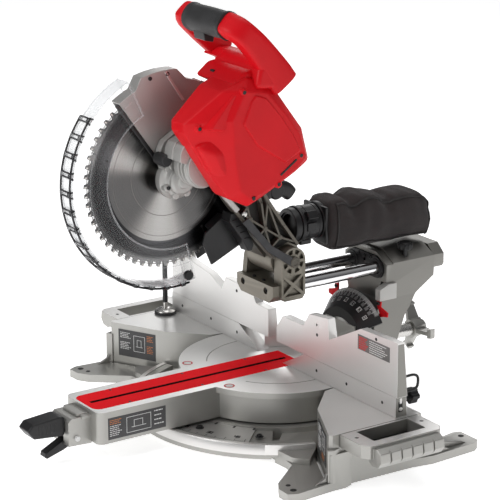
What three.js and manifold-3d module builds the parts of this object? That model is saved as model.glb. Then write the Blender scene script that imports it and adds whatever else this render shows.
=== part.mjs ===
// Sliding dual-bevel miter saw. Millimetres: +X along the fence to the operator's right, +Y to the rear,
// +Z up. The origin is on the bench, on the axis the turntable turns about.
import * as THREE from "three";
import { mergeVertices } from "three/addons/utils/BufferGeometryUtils.js";
import Module from "manifold-3d";

const wasm = await Module();
wasm.setup();

const RAD = Math.PI / 180;
const GAP = 0.3;

// Table and base
const TABLE_Z = 90;
const DISC_R = 166;
const DRUM_R = 160;
const DRUM_Z = 36;
const BORE_R = 168;
const RING_R = 248;
const FLOOR_Z = 33;
const HUB_R = 30;
const ARM_HALF = 55;
const ARM_END = -380;
const ARM_CORNER = 12;
const KERF_HALF = 37;
const KERF_FRONT = -375;
const KERF_BACK = 30;
const KERF_CORNER = 14;
const KERF_DEEP = 4;
const SCALE_IN = 172;
const SCALE_OUT = 240.3;
const SCALE_Z = 28;
const LOCK_Z = 66;
// Fences and clamp
const FENCE_END = 335;
const FENCE_STEP = 124;
const FENCE_KNOB_Z = 116;
const CLAMP_X = -322;
const CLAMP_Y = -23;
// Slide, bevel and chop axes
const BEVEL_Z = 90;
const RAIL_X = 34;
const RAIL_Z = 230.5;
const RAIL_R = 10.75;
const KNOB_X = 48;
const KNOB_Y = 238;
const PIVOT_Y = -5;
const PIVOT_Z = 281;
// Blade and guards
const BLADE_Y = -213;
const BLADE_Z = 447.5;
const BLADE_R = 152.4;
const ARBOR_R = 8;
const GUARD_IN = 178;
const GUARD_OUT = 181;
const GUARD_HALF = 17;
const TEETH = 60;
// Handle bar
const GRIP_Y = -165;
const GRIP_Z = 702;
// Dust port
const DUST_Z = 325;
const DUST_R = 22;

const paint = (color, roughness, metalness) =>
  new THREE.MeshStandardMaterial({ color, roughness, metalness });
const CASTING = paint(0x9a9a94, 0.5, 0.7);
const MACHINED = paint(0xc0c0bc, 0.35, 0.9);
const OLIVE = paint(0x65605a, 0.6, 0.6);
const RED = paint(0xd21e28, 0.4, 0.0);
const BLACK = paint(0x28282a, 0.5, 0.0);
const RUBBER = paint(0x1b1b1d, 0.85, 0.0);
const CLOTH = paint(0x3c3434, 0.95, 0.0);
const CHROME = paint(0xd8d8d8, 0.1, 1.0);
const STEEL = paint(0xb0aca6, 0.3, 1.0);
const CLEAR = paint(0xe8ecee, 0.1, 0.0);

// ---- solids ----

// Six times the signed volume: negative when the faces look inward.
function signedVolume(p, index) {
  let sum = 0;
  const at = (i) => new THREE.Vector3(p[3 * i], p[3 * i + 1], p[3 * i + 2]);
  for (let i = 0; i < index.length; i += 3) {
    sum += at(index[i]).dot(at(index[i + 1]).cross(at(index[i + 2])));
  }
  return sum;
}

function solid(geometry) {
  geometry.deleteAttribute("normal");
  geometry.deleteAttribute("uv");
  const g = mergeVertices(geometry, 1e-4);
  const vertProperties = new Float32Array(g.attributes.position.array);
  const triVerts = new Uint32Array(g.index.array);
  if (signedVolume(vertProperties, triVerts) < 0) {
    triVerts.reverse();
  }
  return new wasm.Manifold(new wasm.Mesh({ numProp: 3, vertProperties, triVerts }));
}

function join(...parts) {
  return parts.reduce((a, b) => a.add(b));
}

function cut(body, ...tools) {
  return tools.reduce((a, b) => a.subtract(b), body);
}

// A box between two limits on each axis.
function box(x0, x1, y0, y1, z0, z1) {
  const g = new THREE.BoxGeometry(x1 - x0, y1 - y0, z1 - z0);
  g.translate((x0 + x1) / 2, (y0 + y1) / 2, (z0 + z1) / 2);
  return solid(g);
}

// A flat outline pushed from a to b along one axis: "x" takes (y, z), "y" takes (x, z), "z" takes (x, y).
function prism(axis, outline, a, b) {
  const shape = new THREE.Shape(outline.map(([u, v]) => new THREE.Vector2(u, v)));
  const g = new THREE.ExtrudeGeometry(shape, { depth: b - a, bevelEnabled: false });
  g.translate(0, 0, a);
  const sides = { x: [[0, 1, 0], [0, 0, 1], [1, 0, 0]], y: [[1, 0, 0], [0, 0, 1], [0, 1, 0]] }[axis];
  if (sides) {
    g.applyMatrix4(new THREE.Matrix4().makeBasis(...sides.map((v) => new THREE.Vector3(...v))));
  }
  return solid(g);
}

// A turned solid: closed profile of (radius, distance) about a line along one axis through (p, q).
function turned(axis, p, q, profile, sides = 32) {
  const closed = profile[0][0] > 0 ? [...profile, profile[0]] : profile;
  const pts = closed.map(([r, t]) => new THREE.Vector2(r, t));
  const body = solid(new THREE.LatheGeometry(pts, sides));
  const turn = { x: [0, 0, -90], y: [0, 0, 0], z: [90, 0, 0] }[axis];
  const move = { x: [0, p, q], y: [p, 0, q], z: [p, q, 0] }[axis];
  return body.rotate(turn).translate(move);
}

// A plain round bar from a to b along one axis; (p, q) are the two other coordinates in order.
function rod(axis, p, q, r, a, b, sides = 32) {
  return turned(axis, p, q, [[0, a], [r, a], [r, b], [0, b]], sides);
}

// A round bar between two points.
function bar(from, to, r, sides = 16) {
  const a = new THREE.Vector3(...from);
  const b = new THREE.Vector3(...to);
  const g = new THREE.CylinderGeometry(r, r, a.distanceTo(b), sides);
  const way = new THREE.Vector3().subVectors(b, a).normalize();
  g.applyQuaternion(new THREE.Quaternion().setFromUnitVectors(new THREE.Vector3(0, 1, 0), way));
  g.translate(...new THREE.Vector3().addVectors(a, b).multiplyScalar(0.5).toArray());
  return solid(g);
}

// Points on a circle between two angles in degrees.
function arc(cu, cv, r, from, to, steps) {
  return Array.from({ length: steps + 1 }, (_, i) => {
    const t = (from + ((to - from) * i) / steps) * RAD;
    return [cu + r * Math.cos(t), cv + r * Math.sin(t)];
  });
}

// Part of a ring between two radii and two angles, as an outline.
function sector(cu, cv, r0, r1, from, to, steps) {
  return [...arc(cu, cv, r1, from, to, steps), ...arc(cu, cv, r0, to, from, steps)];
}

const mirrored = (s) => s.mirror([1, 0, 0]);

// Guard angles are measured at the blade centre from straight forward, rising over the top.
const guardPoint = (r, phi) => [BLADE_Y - r * Math.cos(phi * RAD), BLADE_Z + r * Math.sin(phi * RAD)];
const guardArc = (r, from, to, steps) =>
  Array.from({ length: steps + 1 }, (_, i) => guardPoint(r, from + ((to - from) * i) / steps));
const guardSector = (r0, r1, from, to, steps) =>
  [...guardArc(r1, from, to, steps), ...guardArc(r0, to, from, steps)];

// ---- base ----

function sideTable() {
  const top = [[172, -20], [232, -78], [335, -130], [340, -126], [340, 48], [159, 48]];
  const inner = [[178, -15], [234, -70], [330, -118], [332, 40], [176, 40]];
  const feet = [
    prism("z", [[150, -62], [232, -86], [335, -136], [344, -110], [350, -198], [343, -213], [318, -212],
      [298, -200], [250, -140], [199, -132], [140, -130]], 0, 14),
    prism("z", [[296, 30], [339, 30], [346, 70], [341, 160], [332, 173], [288, 173], [284, 160],
      [298, 80]], 0, 14),
    prism("x", [[40, 0], [80, 0], [112, 14], [48, 40], [40, 40]], 300, 340),
    prism("z", [[335, -130], [345, -134], [346, -104], [341, -90], [336, -90]], 0, 60),
  ];
  const slab = prism("z", [[140, -60], [232, -80], [335, -132], [340, 48], [140, 48]], 0, 12.5);
  const table = cut(join(prism("z", top, 12, TABLE_Z), slab), prism("z", inner, -1, TABLE_Z - 8));
  return cut(
    join(table, ...feet),
    rod("z", 334, -196, 5.5, -1, 20, 12),
    rod("z", 314, -192, 4, -1, 20, 12),
    rod("z", 304, 161, 5, -1, 20, 12),
    box(345.5, 400, -86, 16, 20, 100),
  );
}

function baseCasting() {
  const floor = turned("z", 0, 0, [[0, 8], [BORE_R + 6, 8], [BORE_R + 6, FLOOR_Z], [0, FLOOR_Z]], 64);
  const ring = prism("z", sector(0, 0, BORE_R - 20, RING_R, 216, 324, 36), 8, 28);
  const ribs = [];
  for (const deg of [235, 262, 278, 305]) {
    ribs.push(box(150, RING_R - 2, -3, 3, 8, 28).rotate([0, 0, deg]));
  }
  const rim = prism("z", sector(0, 0, RING_R - 8, RING_R, 216, 324, 36), 8, FLOOR_Z);
  const pockets = [20, 110, 200, 290].map((deg) =>
    prism("z", sector(0, 0, 44, 150, deg, deg + 80, 12), -1, 24));
  const hub = join(rod("z", 0, 0, HUB_R, 0, 20, 32), rod("z", 0, 0, 20, FLOOR_Z - 1, 53, 32));
  const walls = prism("z", [[120, -60], [199, -138], [244, -136], [268, -118], [232, -80],
    [176, -22]], 0, 24);
  const side = join(sideTable(), walls);
  const body = join(floor, ring, rim, hub, side, mirrored(side), ...ribs);
  return cut(
    body,
    ...pockets,
    cut(rod("z", 0, 0, BORE_R, FLOOR_Z, 200, 64), rod("z", 0, 0, 20, FLOOR_Z - 2, 53, 32)),
    prism("z", sector(0, 0, SCALE_IN, SCALE_OUT, 225, 315, 30), SCALE_Z - GAP, 60),
  );
}

function miterScale() {
  return prism("z", sector(0, 0, SCALE_IN + GAP, SCALE_OUT - GAP, 225.2, 314.8, 30), SCALE_Z, SCALE_Z + 3);
}

function sideHandle() {
  const outline = [[341, -113], [396, -113], [408, -104], [410, 30], [398, 40], [341, 40]];
  const frameBody = prism("z", outline, 68, TABLE_Z);
  const low = prism("y", [[396, 60], [404, 54], [420, 56], [428, 66], [426, 80], [416, 86],
    [396, 84]], -98, 26);
  const grooves = [-78, -57, -36, -15, 6].map((y) => box(423, 430, y - 1.2, y + 1.2, 50, 84));
  return cut(
    join(frameBody, low),
    ...grooves,
    box(346, 392, -85, 15, 40, 100),
    rod("z", 366, -99, 3.2, 84, 100, 12),
    rod("z", 366, 28, 3.2, 84, 100, 12),
  );
}

// ---- fences ----

function fixedFence() {
  const z0 = TABLE_Z + GAP;
  const wall = (sign, low, high) => prism("y", [
    [sign * low, z0], [sign * FENCE_END, z0], [sign * FENCE_END, FENCE_STEP],
    [sign * high, FENCE_STEP]], 0, 23);
  const right = wall(1, 21, 84);
  const left = wall(-1, 52, 114);
  const bridge = prism("z", [[60, 18], ...arc(0, 16, 70, 12, 168, 16), [-60, 18],
    ...arc(0, 16, 60, 168, 12, 16)], z0, 122);
  const feet = [box(150, 200, 20, 40, z0, 98), box(-200, -150, 20, 40, z0, 98)];
  const holes = [150, 260].flatMap((x) => [
    rod("z", x + 20, 31, 3.3, 80, 110, 12), rod("z", -x - 20, 31, 3.3, 80, 110, 12)]);
  const slope = prism("x", [[23, z0 - 1], [20.8, FENCE_STEP + 0.5], [30, FENCE_STEP + 0.5],
    [30, z0 - 1]], 90, 340);
  return cut(join(cut(right, slope), cut(left, mirrored(slope)), bridge, ...feet), ...holes);
}

function slidingFence(outline, holes) {
  const plate = prism("y", outline, 0, 20.8);
  const slope = prism("x", [[20.8, FENCE_STEP], [24, FENCE_STEP], [24, 220], [12.7, 220]], -400, 400);
  return cut(plate, slope, ...holes.map(([x, z]) => rod("y", x, z, 2.5, -1, 30, 10)));
}

function rightFence() {
  const z0 = FENCE_STEP + GAP;
  return slidingFence([[3, z0], [3, 151], [21, 174], [81, 174], [98, 199], [152, 205], [155, 170],
    [241, 213], [338, 216], [338, z0]], [[282, 190], [120, 186]]);
}

function leftFence() {
  const z0 = FENCE_STEP + GAP;
  return slidingFence([[-333, z0], [-333, 209], [-204, 191], [-169, 172], [-156, 198], [-104, 196],
    [-76, 200], [-60, 175], [-22, 174], [-22, z0]], [[-270, 180], [-120, 182]]);
}

// A lobed knob on a short stem behind the fence.
function fenceKnob(x) {
  const z = FENCE_KNOB_Z;
  const lobes = Array.from({ length: 5 }, (_, i) => {
    const t = i * 72 * RAD;
    return rod("y", x + 9 * Math.cos(t), z + 9 * Math.sin(t), 5, 36, 50, 10);
  });
  return join(rod("y", x, z, 11, 36, 50, 16), rod("y", x, z, 5, 22, 37, 12), ...lobes);
}

// ---- clamp ----

function clampFrame() {
  const arm = prism("z", [[-340, 48], [-322, 48], [-314, -23], [-318, -33], [-326, -33],
    [-331, -23]], 228, 244);
  const post = rod("z", -331, 40, 8, TABLE_Z + GAP, 252, 20);
  const eye = rod("z", CLAMP_X, CLAMP_Y, 12, 226, 248, 20);
  return cut(join(arm, post, eye), rod("z", CLAMP_X, CLAMP_Y, 4.9, 200, 260, 16));
}

function clampScrew() {
  const wheel = turned("z", CLAMP_X, CLAMP_Y, [[0, 268], [20, 268], [23, 272], [23, 282], [18, 287],
    [0, 287]], 20);
  return join(rod("z", CLAMP_X, CLAMP_Y, 4.5, 99.3, 270, 16), wheel);
}

function clampPad() {
  return turned("z", CLAMP_X, CLAMP_Y, [[0, 90.5], [20, 90.5], [20, 95], [12, 99], [0, 99]], 28);
}

// ---- turntable ----

// A plan outline, long from front to back, with its two front corners rounded.
function slipway(half, front, back, r) {
  return [[half, back], [-half, back], ...arc(-half + r, front + r, r, 180, 270, 6),
    ...arc(half - r, front + r, r, 270, 360, 6)];
}

function turntable() {
  const disc = turned("z", 0, 0, [[0, DRUM_Z], [DRUM_R, DRUM_Z], [DRUM_R, 80], [DISC_R, 80],
    [DISC_R, TABLE_Z], [0, TABLE_Z]], 72);
  const under = cut(rod("z", 0, 0, DRUM_R - 8, DRUM_Z - 1, TABLE_Z - 9, 48),
    box(-36, 36, -170, 60, 0, 120), rod("z", 0, 0, 30, 0, 120, 32));
  const arm = prism("z", slipway(ARM_HALF, ARM_END, -120, ARM_CORNER), DRUM_Z, TABLE_Z);
  const nose = prism("x", [[-420, 34], [-378, 32], [-378, 80], [-414, 80], [-420, 74]], -30, 27);
  const trunk = join(
    prism("x", [[60, 40], [60, 80], [132, 80], [136, 135], [165, 135], [172, 124], [172, 40]], -44, 44),
    rod("y", 0, BEVEL_Z, 44, 136, 172, 40),
  );
  const whole = join(cut(disc, under), arm, cut(nose, rod("y", 0, LOCK_Z, 8.3, -430, -400, 16)), trunk);
  return cut(
    whole,
    prism("z", slipway(KERF_HALF + GAP, KERF_FRONT - GAP, KERF_BACK + GAP, KERF_CORNER + GAP),
      TABLE_Z - KERF_DEEP - GAP, 100),
    box(-25, 25, -370, 26, 60, 100),
    box(-9.5, 9.5, -430, -394, 20, 48),
    box(-48, -32, -366, -172, 30, 82),
    box(32, 48, -366, -172, 30, 82),
    rod("z", 0, 0, 20.3, 0, 55, 32),
    rod("y", 0, BEVEL_Z, 12.3, 120, 180, 24),
    cut(turned("z", 0, 0, [[117, TABLE_Z - 0.8], [119, TABLE_Z - 0.8], [119, 95], [117, 95]], 72),
      box(-60, 60, -200, 200, 80, 100), box(-200, 200, -1, 200, 80, 100)),
  );
}

function kerfPlate() {
  const outline = slipway(KERF_HALF, KERF_FRONT, KERF_BACK, KERF_CORNER);
  const plate = prism("z", outline, TABLE_Z - KERF_DEEP, TABLE_Z);
  const screws = [-308, -169, -42].flatMap((y) => [-32, 32].map((x) =>
    rod("z", x, y, 3, TABLE_Z - 1.5, 95, 10)));
  return cut(plate, box(-4, 4, -364, 20, 80, 100), ...screws);
}

function bevelScale() {
  const ring = turned("y", 0, BEVEL_Z, [[50, 137.3], [68, 137.3], [96, 169], [92, 171], [88, 171],
    [62, 141], [50, 141]], 72);
  const wedge = prism("y", [[0, 90], [160, 205], [160, 260], [-160, 260], [-160, 205]], 100, 200);
  const room = join(
    prism("x", [[59.7, 39.7], [59.7, 80.3], [131.7, 80.3], [135.7, 135.3], [165, 135.3], [172.3, 124],
      [172.3, 40]], -44.3, 44.3),
    rod("y", 0, BEVEL_Z, 44.3, 130, 174, 40),
  );
  return cut(ring.intersect(wedge), room);
}

function miterHandle() {
  return join(
    rod("y", 0, LOCK_Z, 8, -425, -401, 16),
    prism("x", [[-487, 70], [-476, 55], [-424, 50], [-420.5, 54], [-420.5, 82], [-430, 84],
      [-478, 80]], -17, 17),
  );
}

function detentLever() {
  return prism("x", [[-454, 17], [-450, 14], [-420, 23], [-400, 32], [-400, 40], [-411, 43], [-424, 38],
    [-452, 24]], -9, 9);
}

// ---- post ----

function bevelPost() {
  const head = prism("x", [[204.3, 258], [290, 261], [295, 238], [293, 206], [262, 177], [251, 155],
    [240, 139], [225, 91], [220, 60], [204.3, 48]], -60, 60);
  const narrow = join(
    prism("y", [[-60, 206], [-60, 240], [-30, 258], [30, 258], [60, 240], [60, 206], [50, 175], [46, 90],
      [32, 58], [0, 46], [-32, 58], [-46, 90], [-50, 175]], 173.3, 300),
    prism("y", [[-60, 206], [-60, 242], [-30, 261], [30, 261], [60, 242], [60, 206]], 204.3, 300),
  );
  const front = prism("x", [[190, 262], [296, 262], [296, 40], [174, 40], [174, 128], [180, 160],
    [190, 176]], -70, 70);
  const body = join(head, box(-60, 60, 173.3, 206, 40, 262)).intersect(narrow).intersect(front);
  return cut(
    body,
    ...[-1, 1].map((s) => rod("y", s * RAIL_X, RAIL_Z, RAIL_R + GAP, 150, 320, 24)),
    bearingRoom(),
    rod("y", 0, BEVEL_Z, 12.3, 150, 320, 24),
    rod("z", KNOB_X, KNOB_Y, 5, 240, 270, 16),
    box(44, 70, 168, 208.3, 177.7, 208.3),
  );
}

const bearingOutline = (g) => [
  ...arc(RAIL_X, RAIL_Z, 18.4 + g, -90, 40, 8), [33 + g, 251 + g], [-33 - g, 251 + g],
  ...arc(-RAIL_X, RAIL_Z, 18.4 + g, 140, 270, 8)];

const bearingRoom = () => prism("y", bearingOutline(GAP), 150, 204.3);

function bearingPlate() {
  return cut(
    prism("y", bearingOutline(0), 187, 204),
    ...[-1, 1].map((s) => rod("y", s * RAIL_X, RAIL_Z, RAIL_R + GAP, 150, 320, 24)),
    rod("y", 0, 238, 3, 180, 192, 10),
  );
}

function stopPad() {
  return prism("x", [[172, 180], [208, 180], [208, 208], [190, 208], [172, 200]], 52, 66);
}

function pointer() {
  return prism("y", [[50.5, 172], [50.5, 150], [66, 150], [95, 168], [84, 178]], 176, 179)
    .subtract(rod("y", 60, 163, 2.5, 170, 185, 10));
}

function slideKnob() {
  return join(rod("z", KNOB_X, KNOB_Y, 4.6, 242, 260, 14),
    turned("z", KNOB_X, KNOB_Y, [[0, 258.5], [10, 258.5], [11.5, 261], [11.5, 269], [9, 272], [0, 272]], 24));
}

function bevelShaft() {
  return rod("y", 0, BEVEL_Z, 12, 150, 289.7, 24);
}

function bevelHandle() {
  const hub = turned("y", 0, BEVEL_Z, [[0, 290], [17, 290], [17, 300], [13, 318], [0, 318]], 24);
  const spokes = [0, 120, -120].map((deg) => {
    const spoke = prism("x", [[290, 0], [316, 0], [314, 20], [312, 44], [308, 48], [300, 47], [296, 40],
      [290, 14]], -8, 8);
    const rib = box(-3, 3, 286, 318, 16, 41);
    return cut(spoke, rib.translate([6.5, 0, 0]), rib.translate([-6.5, 0, 0]))
      .rotate([0, 90 - deg, 0])
      .translate([0, 0, BEVEL_Z]);
  });
  return join(hub, ...spokes);
}

// ---- carriage ----

const rail = (s) => rod("y", s * RAIL_X, RAIL_Z, RAIL_R, -38, 312, 32);
const railBores = () => [-1, 1].map((s) => rod("y", s * RAIL_X, RAIL_Z, RAIL_R + GAP, -39, 313, 24));

function endCap() {
  const shape = [[50, 216], [54, 222], [54, 240], [36, 256], [-36, 256], [-54, 240], [-54, 222], [-50, 216]];
  return cut(prism("y", shape, 297, 320), ...railBores());
}

function pivotBracket() {
  const block = prism("y", [[-52, 224], [-40, 212], [44, 212], [56, 224], [56, 242], [-52, 242]], -44, 20);
  const left = prism("x", [[-36, 226], [20, 226], [20, 262], [35, 270], [35, 338], [27.5, 338], [18, 303],
    [0, 304], [-24, 294], [-31, 272]], -50, -38);
  const right = prism("x", [[-29, 222], [-23, 214], [13, 214], [19, 222],
    ...arc(PIVOT_Y, PIVOT_Z, 24, 0, 180, 12)], 38, 60);
  const ribField = [[[-25, 226], [-25, 254], [-9, 240]], [[15, 226], [15, 254], [-1, 240]],
    [[-22, 222], [12, 222], [-5, 236]], [[-22, 257], [12, 257], [-5, 244]]].map((t) => prism("x", t, 54, 70));
  const pockets = [-66, -22, 22, 66, 110, 154, 198, 242].map((deg) => prism("x", [
    ...arc(PIVOT_Y, PIVOT_Z, 20.5, deg - 15, deg + 15, 3),
    ...arc(PIVOT_Y, PIVOT_Z, 13, deg + 12, deg - 12, 2)], 54, 70));
  const strap = cut(
    join(
      rod("y", 0, DUST_Z, 27, 27.5, 35, 32),
      box(-50, -18, 27.5, 35, 312, 338),
    ),
    rod("y", 0, DUST_Z, DUST_R + GAP, 0, 40, 32),
  );
  const bolts = [-1, 1].map((s) => rod("y", s * RAIL_X, RAIL_Z, 6, -60, -38.3, 12));
  return cut(join(block, left, right, strap), ...railBores(), ...pockets, ...ribField, ...bolts,
    rod("x", PIVOT_Y, PIVOT_Z, 8.3, -60, 80, 24));
}

const pivotPin = () =>
  join(rod("x", PIVOT_Y, PIVOT_Z, 8, -54, 61, 24), rod("x", PIVOT_Y, PIVOT_Z, 11, -56, -50.3, 6));

function dustTube() {
  return cut(rod("y", 0, DUST_Z, DUST_R, 27, 70, 32), rod("y", 0, DUST_Z, DUST_R - 3, 0, 90, 32));
}

function dustAdapter() {
  return cut(
    join(turned("y", 0, DUST_Z, [[0, 36], [28, 36], [30, 40], [30, 74], [26, 78], [26, 96], [0, 96]], 32),
      box(24, 33, 44, 62, 318, 332)),
    rod("y", 0, DUST_Z, DUST_R + GAP, 10, 71, 32),
    rod("y", 0, DUST_Z, DUST_R - 3, 10, 100, 32),
  );
}

function dustBag() {
  const side = [[88, 276], [100, 270], [180, 266], [298, 264.5], [304, 290], [303, 345], [284, 354],
    [236, 358], [204, 366], [170, 372], [140, 364], [118, 371], [98, 368], [88, 356]];
  const end = [[-50, 300], [-30, 263], [30, 263], [50, 300], [50, 344], [36, 373], [-36, 373],
    [-50, 344]];
  return prism("x", side, -50, 50).intersect(prism("y", end, 80, 310))
    .subtract(rod("y", 0, DUST_Z, 26.4, 80, 96.4, 32));
}

// ---- head ----

const bladeRod = (r, a, b, sides = 48) => rod("x", BLADE_Y, BLADE_Z, r, a, b, sides);
const guardSweep = () => bladeRod(201, -19, 19, 64);

function headArm() {
  const hub = rod("x", PIVOT_Y, PIVOT_Z, 30, -36, 36, 32);
  const outline = [[-36, 284], [-121, 391], [-156, 440], [-92, 470], [-47, 384], [14, 304], [0, 270]];
  const wide = cut(prism("x", outline, -30, 52), bladeRod(182.5, -40, 20, 64));
  const pockets = [
    [[-46, 304], [-88, 358], [-58, 352], [-30, 316]],
    [[-96, 366], [-132, 412], [-104, 424], [-66, 364]],
  ].map((p) => join(prism("x", p, 30, 60), prism("x", p, -40, 10)));
  return cut(
    join(hub, wide),
    ...pockets,
    gearRoom(),
    rod("x", PIVOT_Y, PIVOT_Z, 8.3, -60, 60, 24),
    box(36.3, 80, -60, 60, 200, 312),
    box(-80, -30.01, -36, 60, 200, 250),
    bumperRoom(),
  );
}

const gearOutline = (g) => [[-250 - g, 474], [-236, 494 + g], [-226, 530 + g], [-196, 540 + g],
  [-150 + g, 520], [-136 + g, 470], [-156 + g, 428 - g], [-190, 430 - g], [-236, 434 - g]];

const gearRoom = () => prism("x", gearOutline(GAP), 12, 61.8);

function gearCase() {
  const nose = turned("x", BLADE_Y, BLADE_Z, [[0, 17], [30, 17], [34, 24], [34, 50], [0, 50]], 32);
  const web = prism("x", gearOutline(0), 24, 61.5);
  const flange = join(bladeRod(26, 12.8, 20, 32),
    prism("x", [[-236, 470], [-222, 500], [-190, 520], [-160, 480], [-190, 440]], 12.8, 26));
  return cut(join(nose, web, flange), bladeRod(ARBOR_R + GAP, 0, 45, 24), bumperRoom(),
    rod("x", -226, 520, 3, 40, 70, 10));
}

const bumperRoom = () => rod("x", -237, 481, 9.3, 17.7, 40, 20);
const bumper = () => rod("x", -237, 481, 9, 18, 39.7, 20);

function upperGuard() {
  const shell = prism("x", [guardPoint(0, 55), ...guardArc(160, 55, 200, 30)], -12.5, 12.5);
  const hump = prism("x", [...guardArc(175, 73, 95, 6), ...guardArc(150, 108, 62, 6)], -12.5, 12.5);
  const hollow = prism("x", [guardPoint(0, 30), ...guardArc(157, 30, 125, 16),
    ...guardArc(157, 130, 215, 16)], -9.7, 9.7);
  const boss = join(bladeRod(36, -12.5, -9.7, 32), bladeRod(23.5, -17.5, -9.7, 32));
  const bolts = [[168, 78], [168, 89]].map(([r, phi]) => rod("x", ...guardPoint(r, phi), 2.5, 6, 20, 10));
  return cut(join(cut(join(shell, hump), hollow, bladeRod(30, -9.7, 9.7, 32)), boss),
    bladeRod(14, 5, 20, 24), bladeRod(7, -30, -5, 24), ...bolts);
}

function lowerGuard() {
  const from = 66;
  const to = -104;
  const rim = prism("x", guardSector(GUARD_IN, GUARD_OUT, to, from, 44), -GUARD_HALF, GUARD_HALF);
  const flare = prism("x", [guardPoint(178.5, 65), guardPoint(188, 67.5), guardPoint(190, 66),
    guardPoint(181, 59), guardPoint(179, 60)], -GUARD_HALF, GUARD_HALF);
  const near = prism("x", guardSector(118, 179, to, from, 40), GUARD_HALF - 2.5, GUARD_HALF);
  const far = prism("x", guardSector(118, 179, to, from, 40), -GUARD_HALF, -GUARD_HALF + 2.5);
  const ring = cut(bladeRod(33, -GUARD_HALF, -GUARD_HALF + 2.5, 32), bladeRod(24, -30, -5, 32));
  const arms = [-36, 20].map((phi) => prism("x", [guardPoint(28, phi - 22), guardPoint(28, phi + 22),
    guardPoint(122, phi + 9), guardPoint(122, phi - 9)], -GUARD_HALF, -GUARD_HALF + 2.5));
  const ribs = Array.from({ length: 12 }, (_, i) => 36 - i * 9.5).map((phi) =>
    prism("x", guardSector(180, 185, phi - 0.9, phi + 0.9, 1), -GUARD_HALF, GUARD_HALF));
  return cut(join(rim, flare, near, far, ring, ...arms, ...ribs),
    rod("x", ...guardPoint(170, -99), 3.3, 10, 20, 12));
}

function guardRoller() {
  const [y, z] = guardPoint(170, -99);
  return turned("x", y, z, [[0, 12], [3, 12], [3, 17.3], [8, 17.3], [8, 24], [0, 24]], 20);
}

function motorHousing() {
  const outline = [[-243, 555], [-190, 605], [-147, 624], [-101, 605], [-74, 566], [-44, 529], [-31, 476],
    [-149, 416], [-182, 433], [-215, 483], [-243, 540]];
  const body = prism("x", outline, 62, 144);
  const face = prism("x", outline.map(([y, z]) => [y + (-140 - y) * 0.08, z + (520 - z) * 0.08]), 143, 150);
  return cut(
    join(body, face),
    prism("x", [[-66, 492], [-98, 470], [-95, 462], [-62, 484]], 146, 160),
    rod("x", -216, 548, 3.5, 140, 160, 10),
    rod("x", -60, 500, 3.5, 140, 160, 10),
    rod("x", -150, 440, 3.5, 140, 160, 10),
  );
}

function handleFrame() {
  const leg = [[-175, 688], [-124, 622], [-78, 634], [-142, 706]];
  const left = prism("x", leg, -15, 15);
  const right = prism("x", leg, 123, 155);
  const base = prism("x", [[-140, 604], [-132, 640], [-84, 642], [-72, 610], [-90, 600]], -15, 155);
  const neck = prism("x", [[-143, 624.3], [-100, 606], [-84, 600], [-76, 612], [-84, 642],
    [-134, 640]], 30, 130);
  const top = [join(box(-15, 10, -188, -142, 678, 726)), join(box(115, 155, -188, -142, 678, 726))];
  const soft = prism("x", [[-192, 690], [-184, 722], [-150, 728], [-138, 700], [-150, 676]], -20, 160);
  const motor = prism("x", [[-243, 555.3], [-190, 605.3], [-147, 624.3], [-100.7, 605.3], [-73.7, 566.3],
    [-43, 529], [-31, 476], [-149, 416]], 20, 160);
  return cut(join(left, right, base, neck, ...top.map((t) => t.intersect(soft))), motor, guardSweep(),
    box(10.3, 114.7, -200, -135, 660, 740), rod("x", GRIP_Y, GRIP_Z, 6.3, -20, -8, 16));
}

function handleGrip() {
  const grip = rod("x", GRIP_Y, GRIP_Z, 23, 10.6, 114.4, 24);
  return cut(grip, box(30, 62, -180, -155, 660, 694.5));
}

const trigger = () => prism("x", [[-178, 682], [-176, 672], [-160, 668], [-157, 682], [-157, 689.5],
  [-178, 689.5]], 30.5, 61.5);
const lockOff = () => rod("x", GRIP_Y, GRIP_Z, 6, -18, -11, 16);

function dustChute() {
  const outline = [[-115, 373], [-155, 346], [-164, 322], [-160, 278], [-133, 280], [-82, 313],
    [-58, 306]];
  return cut(
    prism("x", [[-118, 372], [-155, 346], [-160, 330], [-143, 290], [-86, 316], [-72, 328]], -22, 24),
    bladeRod(156, -3.5, 3.5, 64),
    bladeRod(182.5, -19, 19.5, 64).intersect(prism("x", [guardPoint(0, 0), guardPoint(300, -80),
      guardPoint(300, -126)], -30, 30)),
    armRoom(),
  ).intersect(prism("x", outline, -30, 30));
}

const armRoom = () => join(rod("x", PIVOT_Y, PIVOT_Z, 31, -40, 40, 32),
  prism("x", [[-35, 283.7], [-122, 391.5], [-157, 440.5], [-92, 470], [-47, 384], [14, 304],
    [0, 270]], -31, 53));

function ductElbow() {
  return cut(prism("x", [[-56, 392], [-28, 356], [22, 358], [36, 386], [30, 410], [6, 406]], -4, 20),
    prism("x", [[-4, 364], [2, 376], [12, 396], [24, 399], [27, 386], [16, 364]], -10, 12), armRoom());
}

function guardLink() {
  return cut(
    join(prism("x", [[-110, 364], [-104, 370], [-98, 369], [-3, 290], [3, 281], [-5, 273],
      [-14, 279]], 62.3, 66),
      rod("x", PIVOT_Y, PIVOT_Z, 11, 62.3, 66, 20)),
    rod("x", PIVOT_Y, PIVOT_Z, 6.3, 50, 70, 20),
  );
}

// ---- blade ----

function sawBlade() {
  const outline = [];
  for (let i = 0; i < TEETH; i += 1) {
    const step = 360 / TEETH;
    for (const [r, part] of [[BLADE_R, 0], [BLADE_R - 1, 0.36], [BLADE_R - 8, 0.5], [BLADE_R - 9, 0.86]]) {
      outline.push(guardPoint(r, (i + part) * step));
    }
  }
  return cut(prism("x", outline.reverse(), -1.1, 1.1), bladeRod(ARBOR_R + GAP, -5, 5, 24));
}

function arbor() {
  return join(bladeRod(ARBOR_R, -1.4, 40, 24), bladeRod(20, 1.4, 4.4, 28));
}

function bladeBolt() {
  return join(bladeRod(20, -4.4, -1.7, 28), bladeRod(6, -8.5, -4.4, 6));
}

// ---- assembly ----

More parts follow.
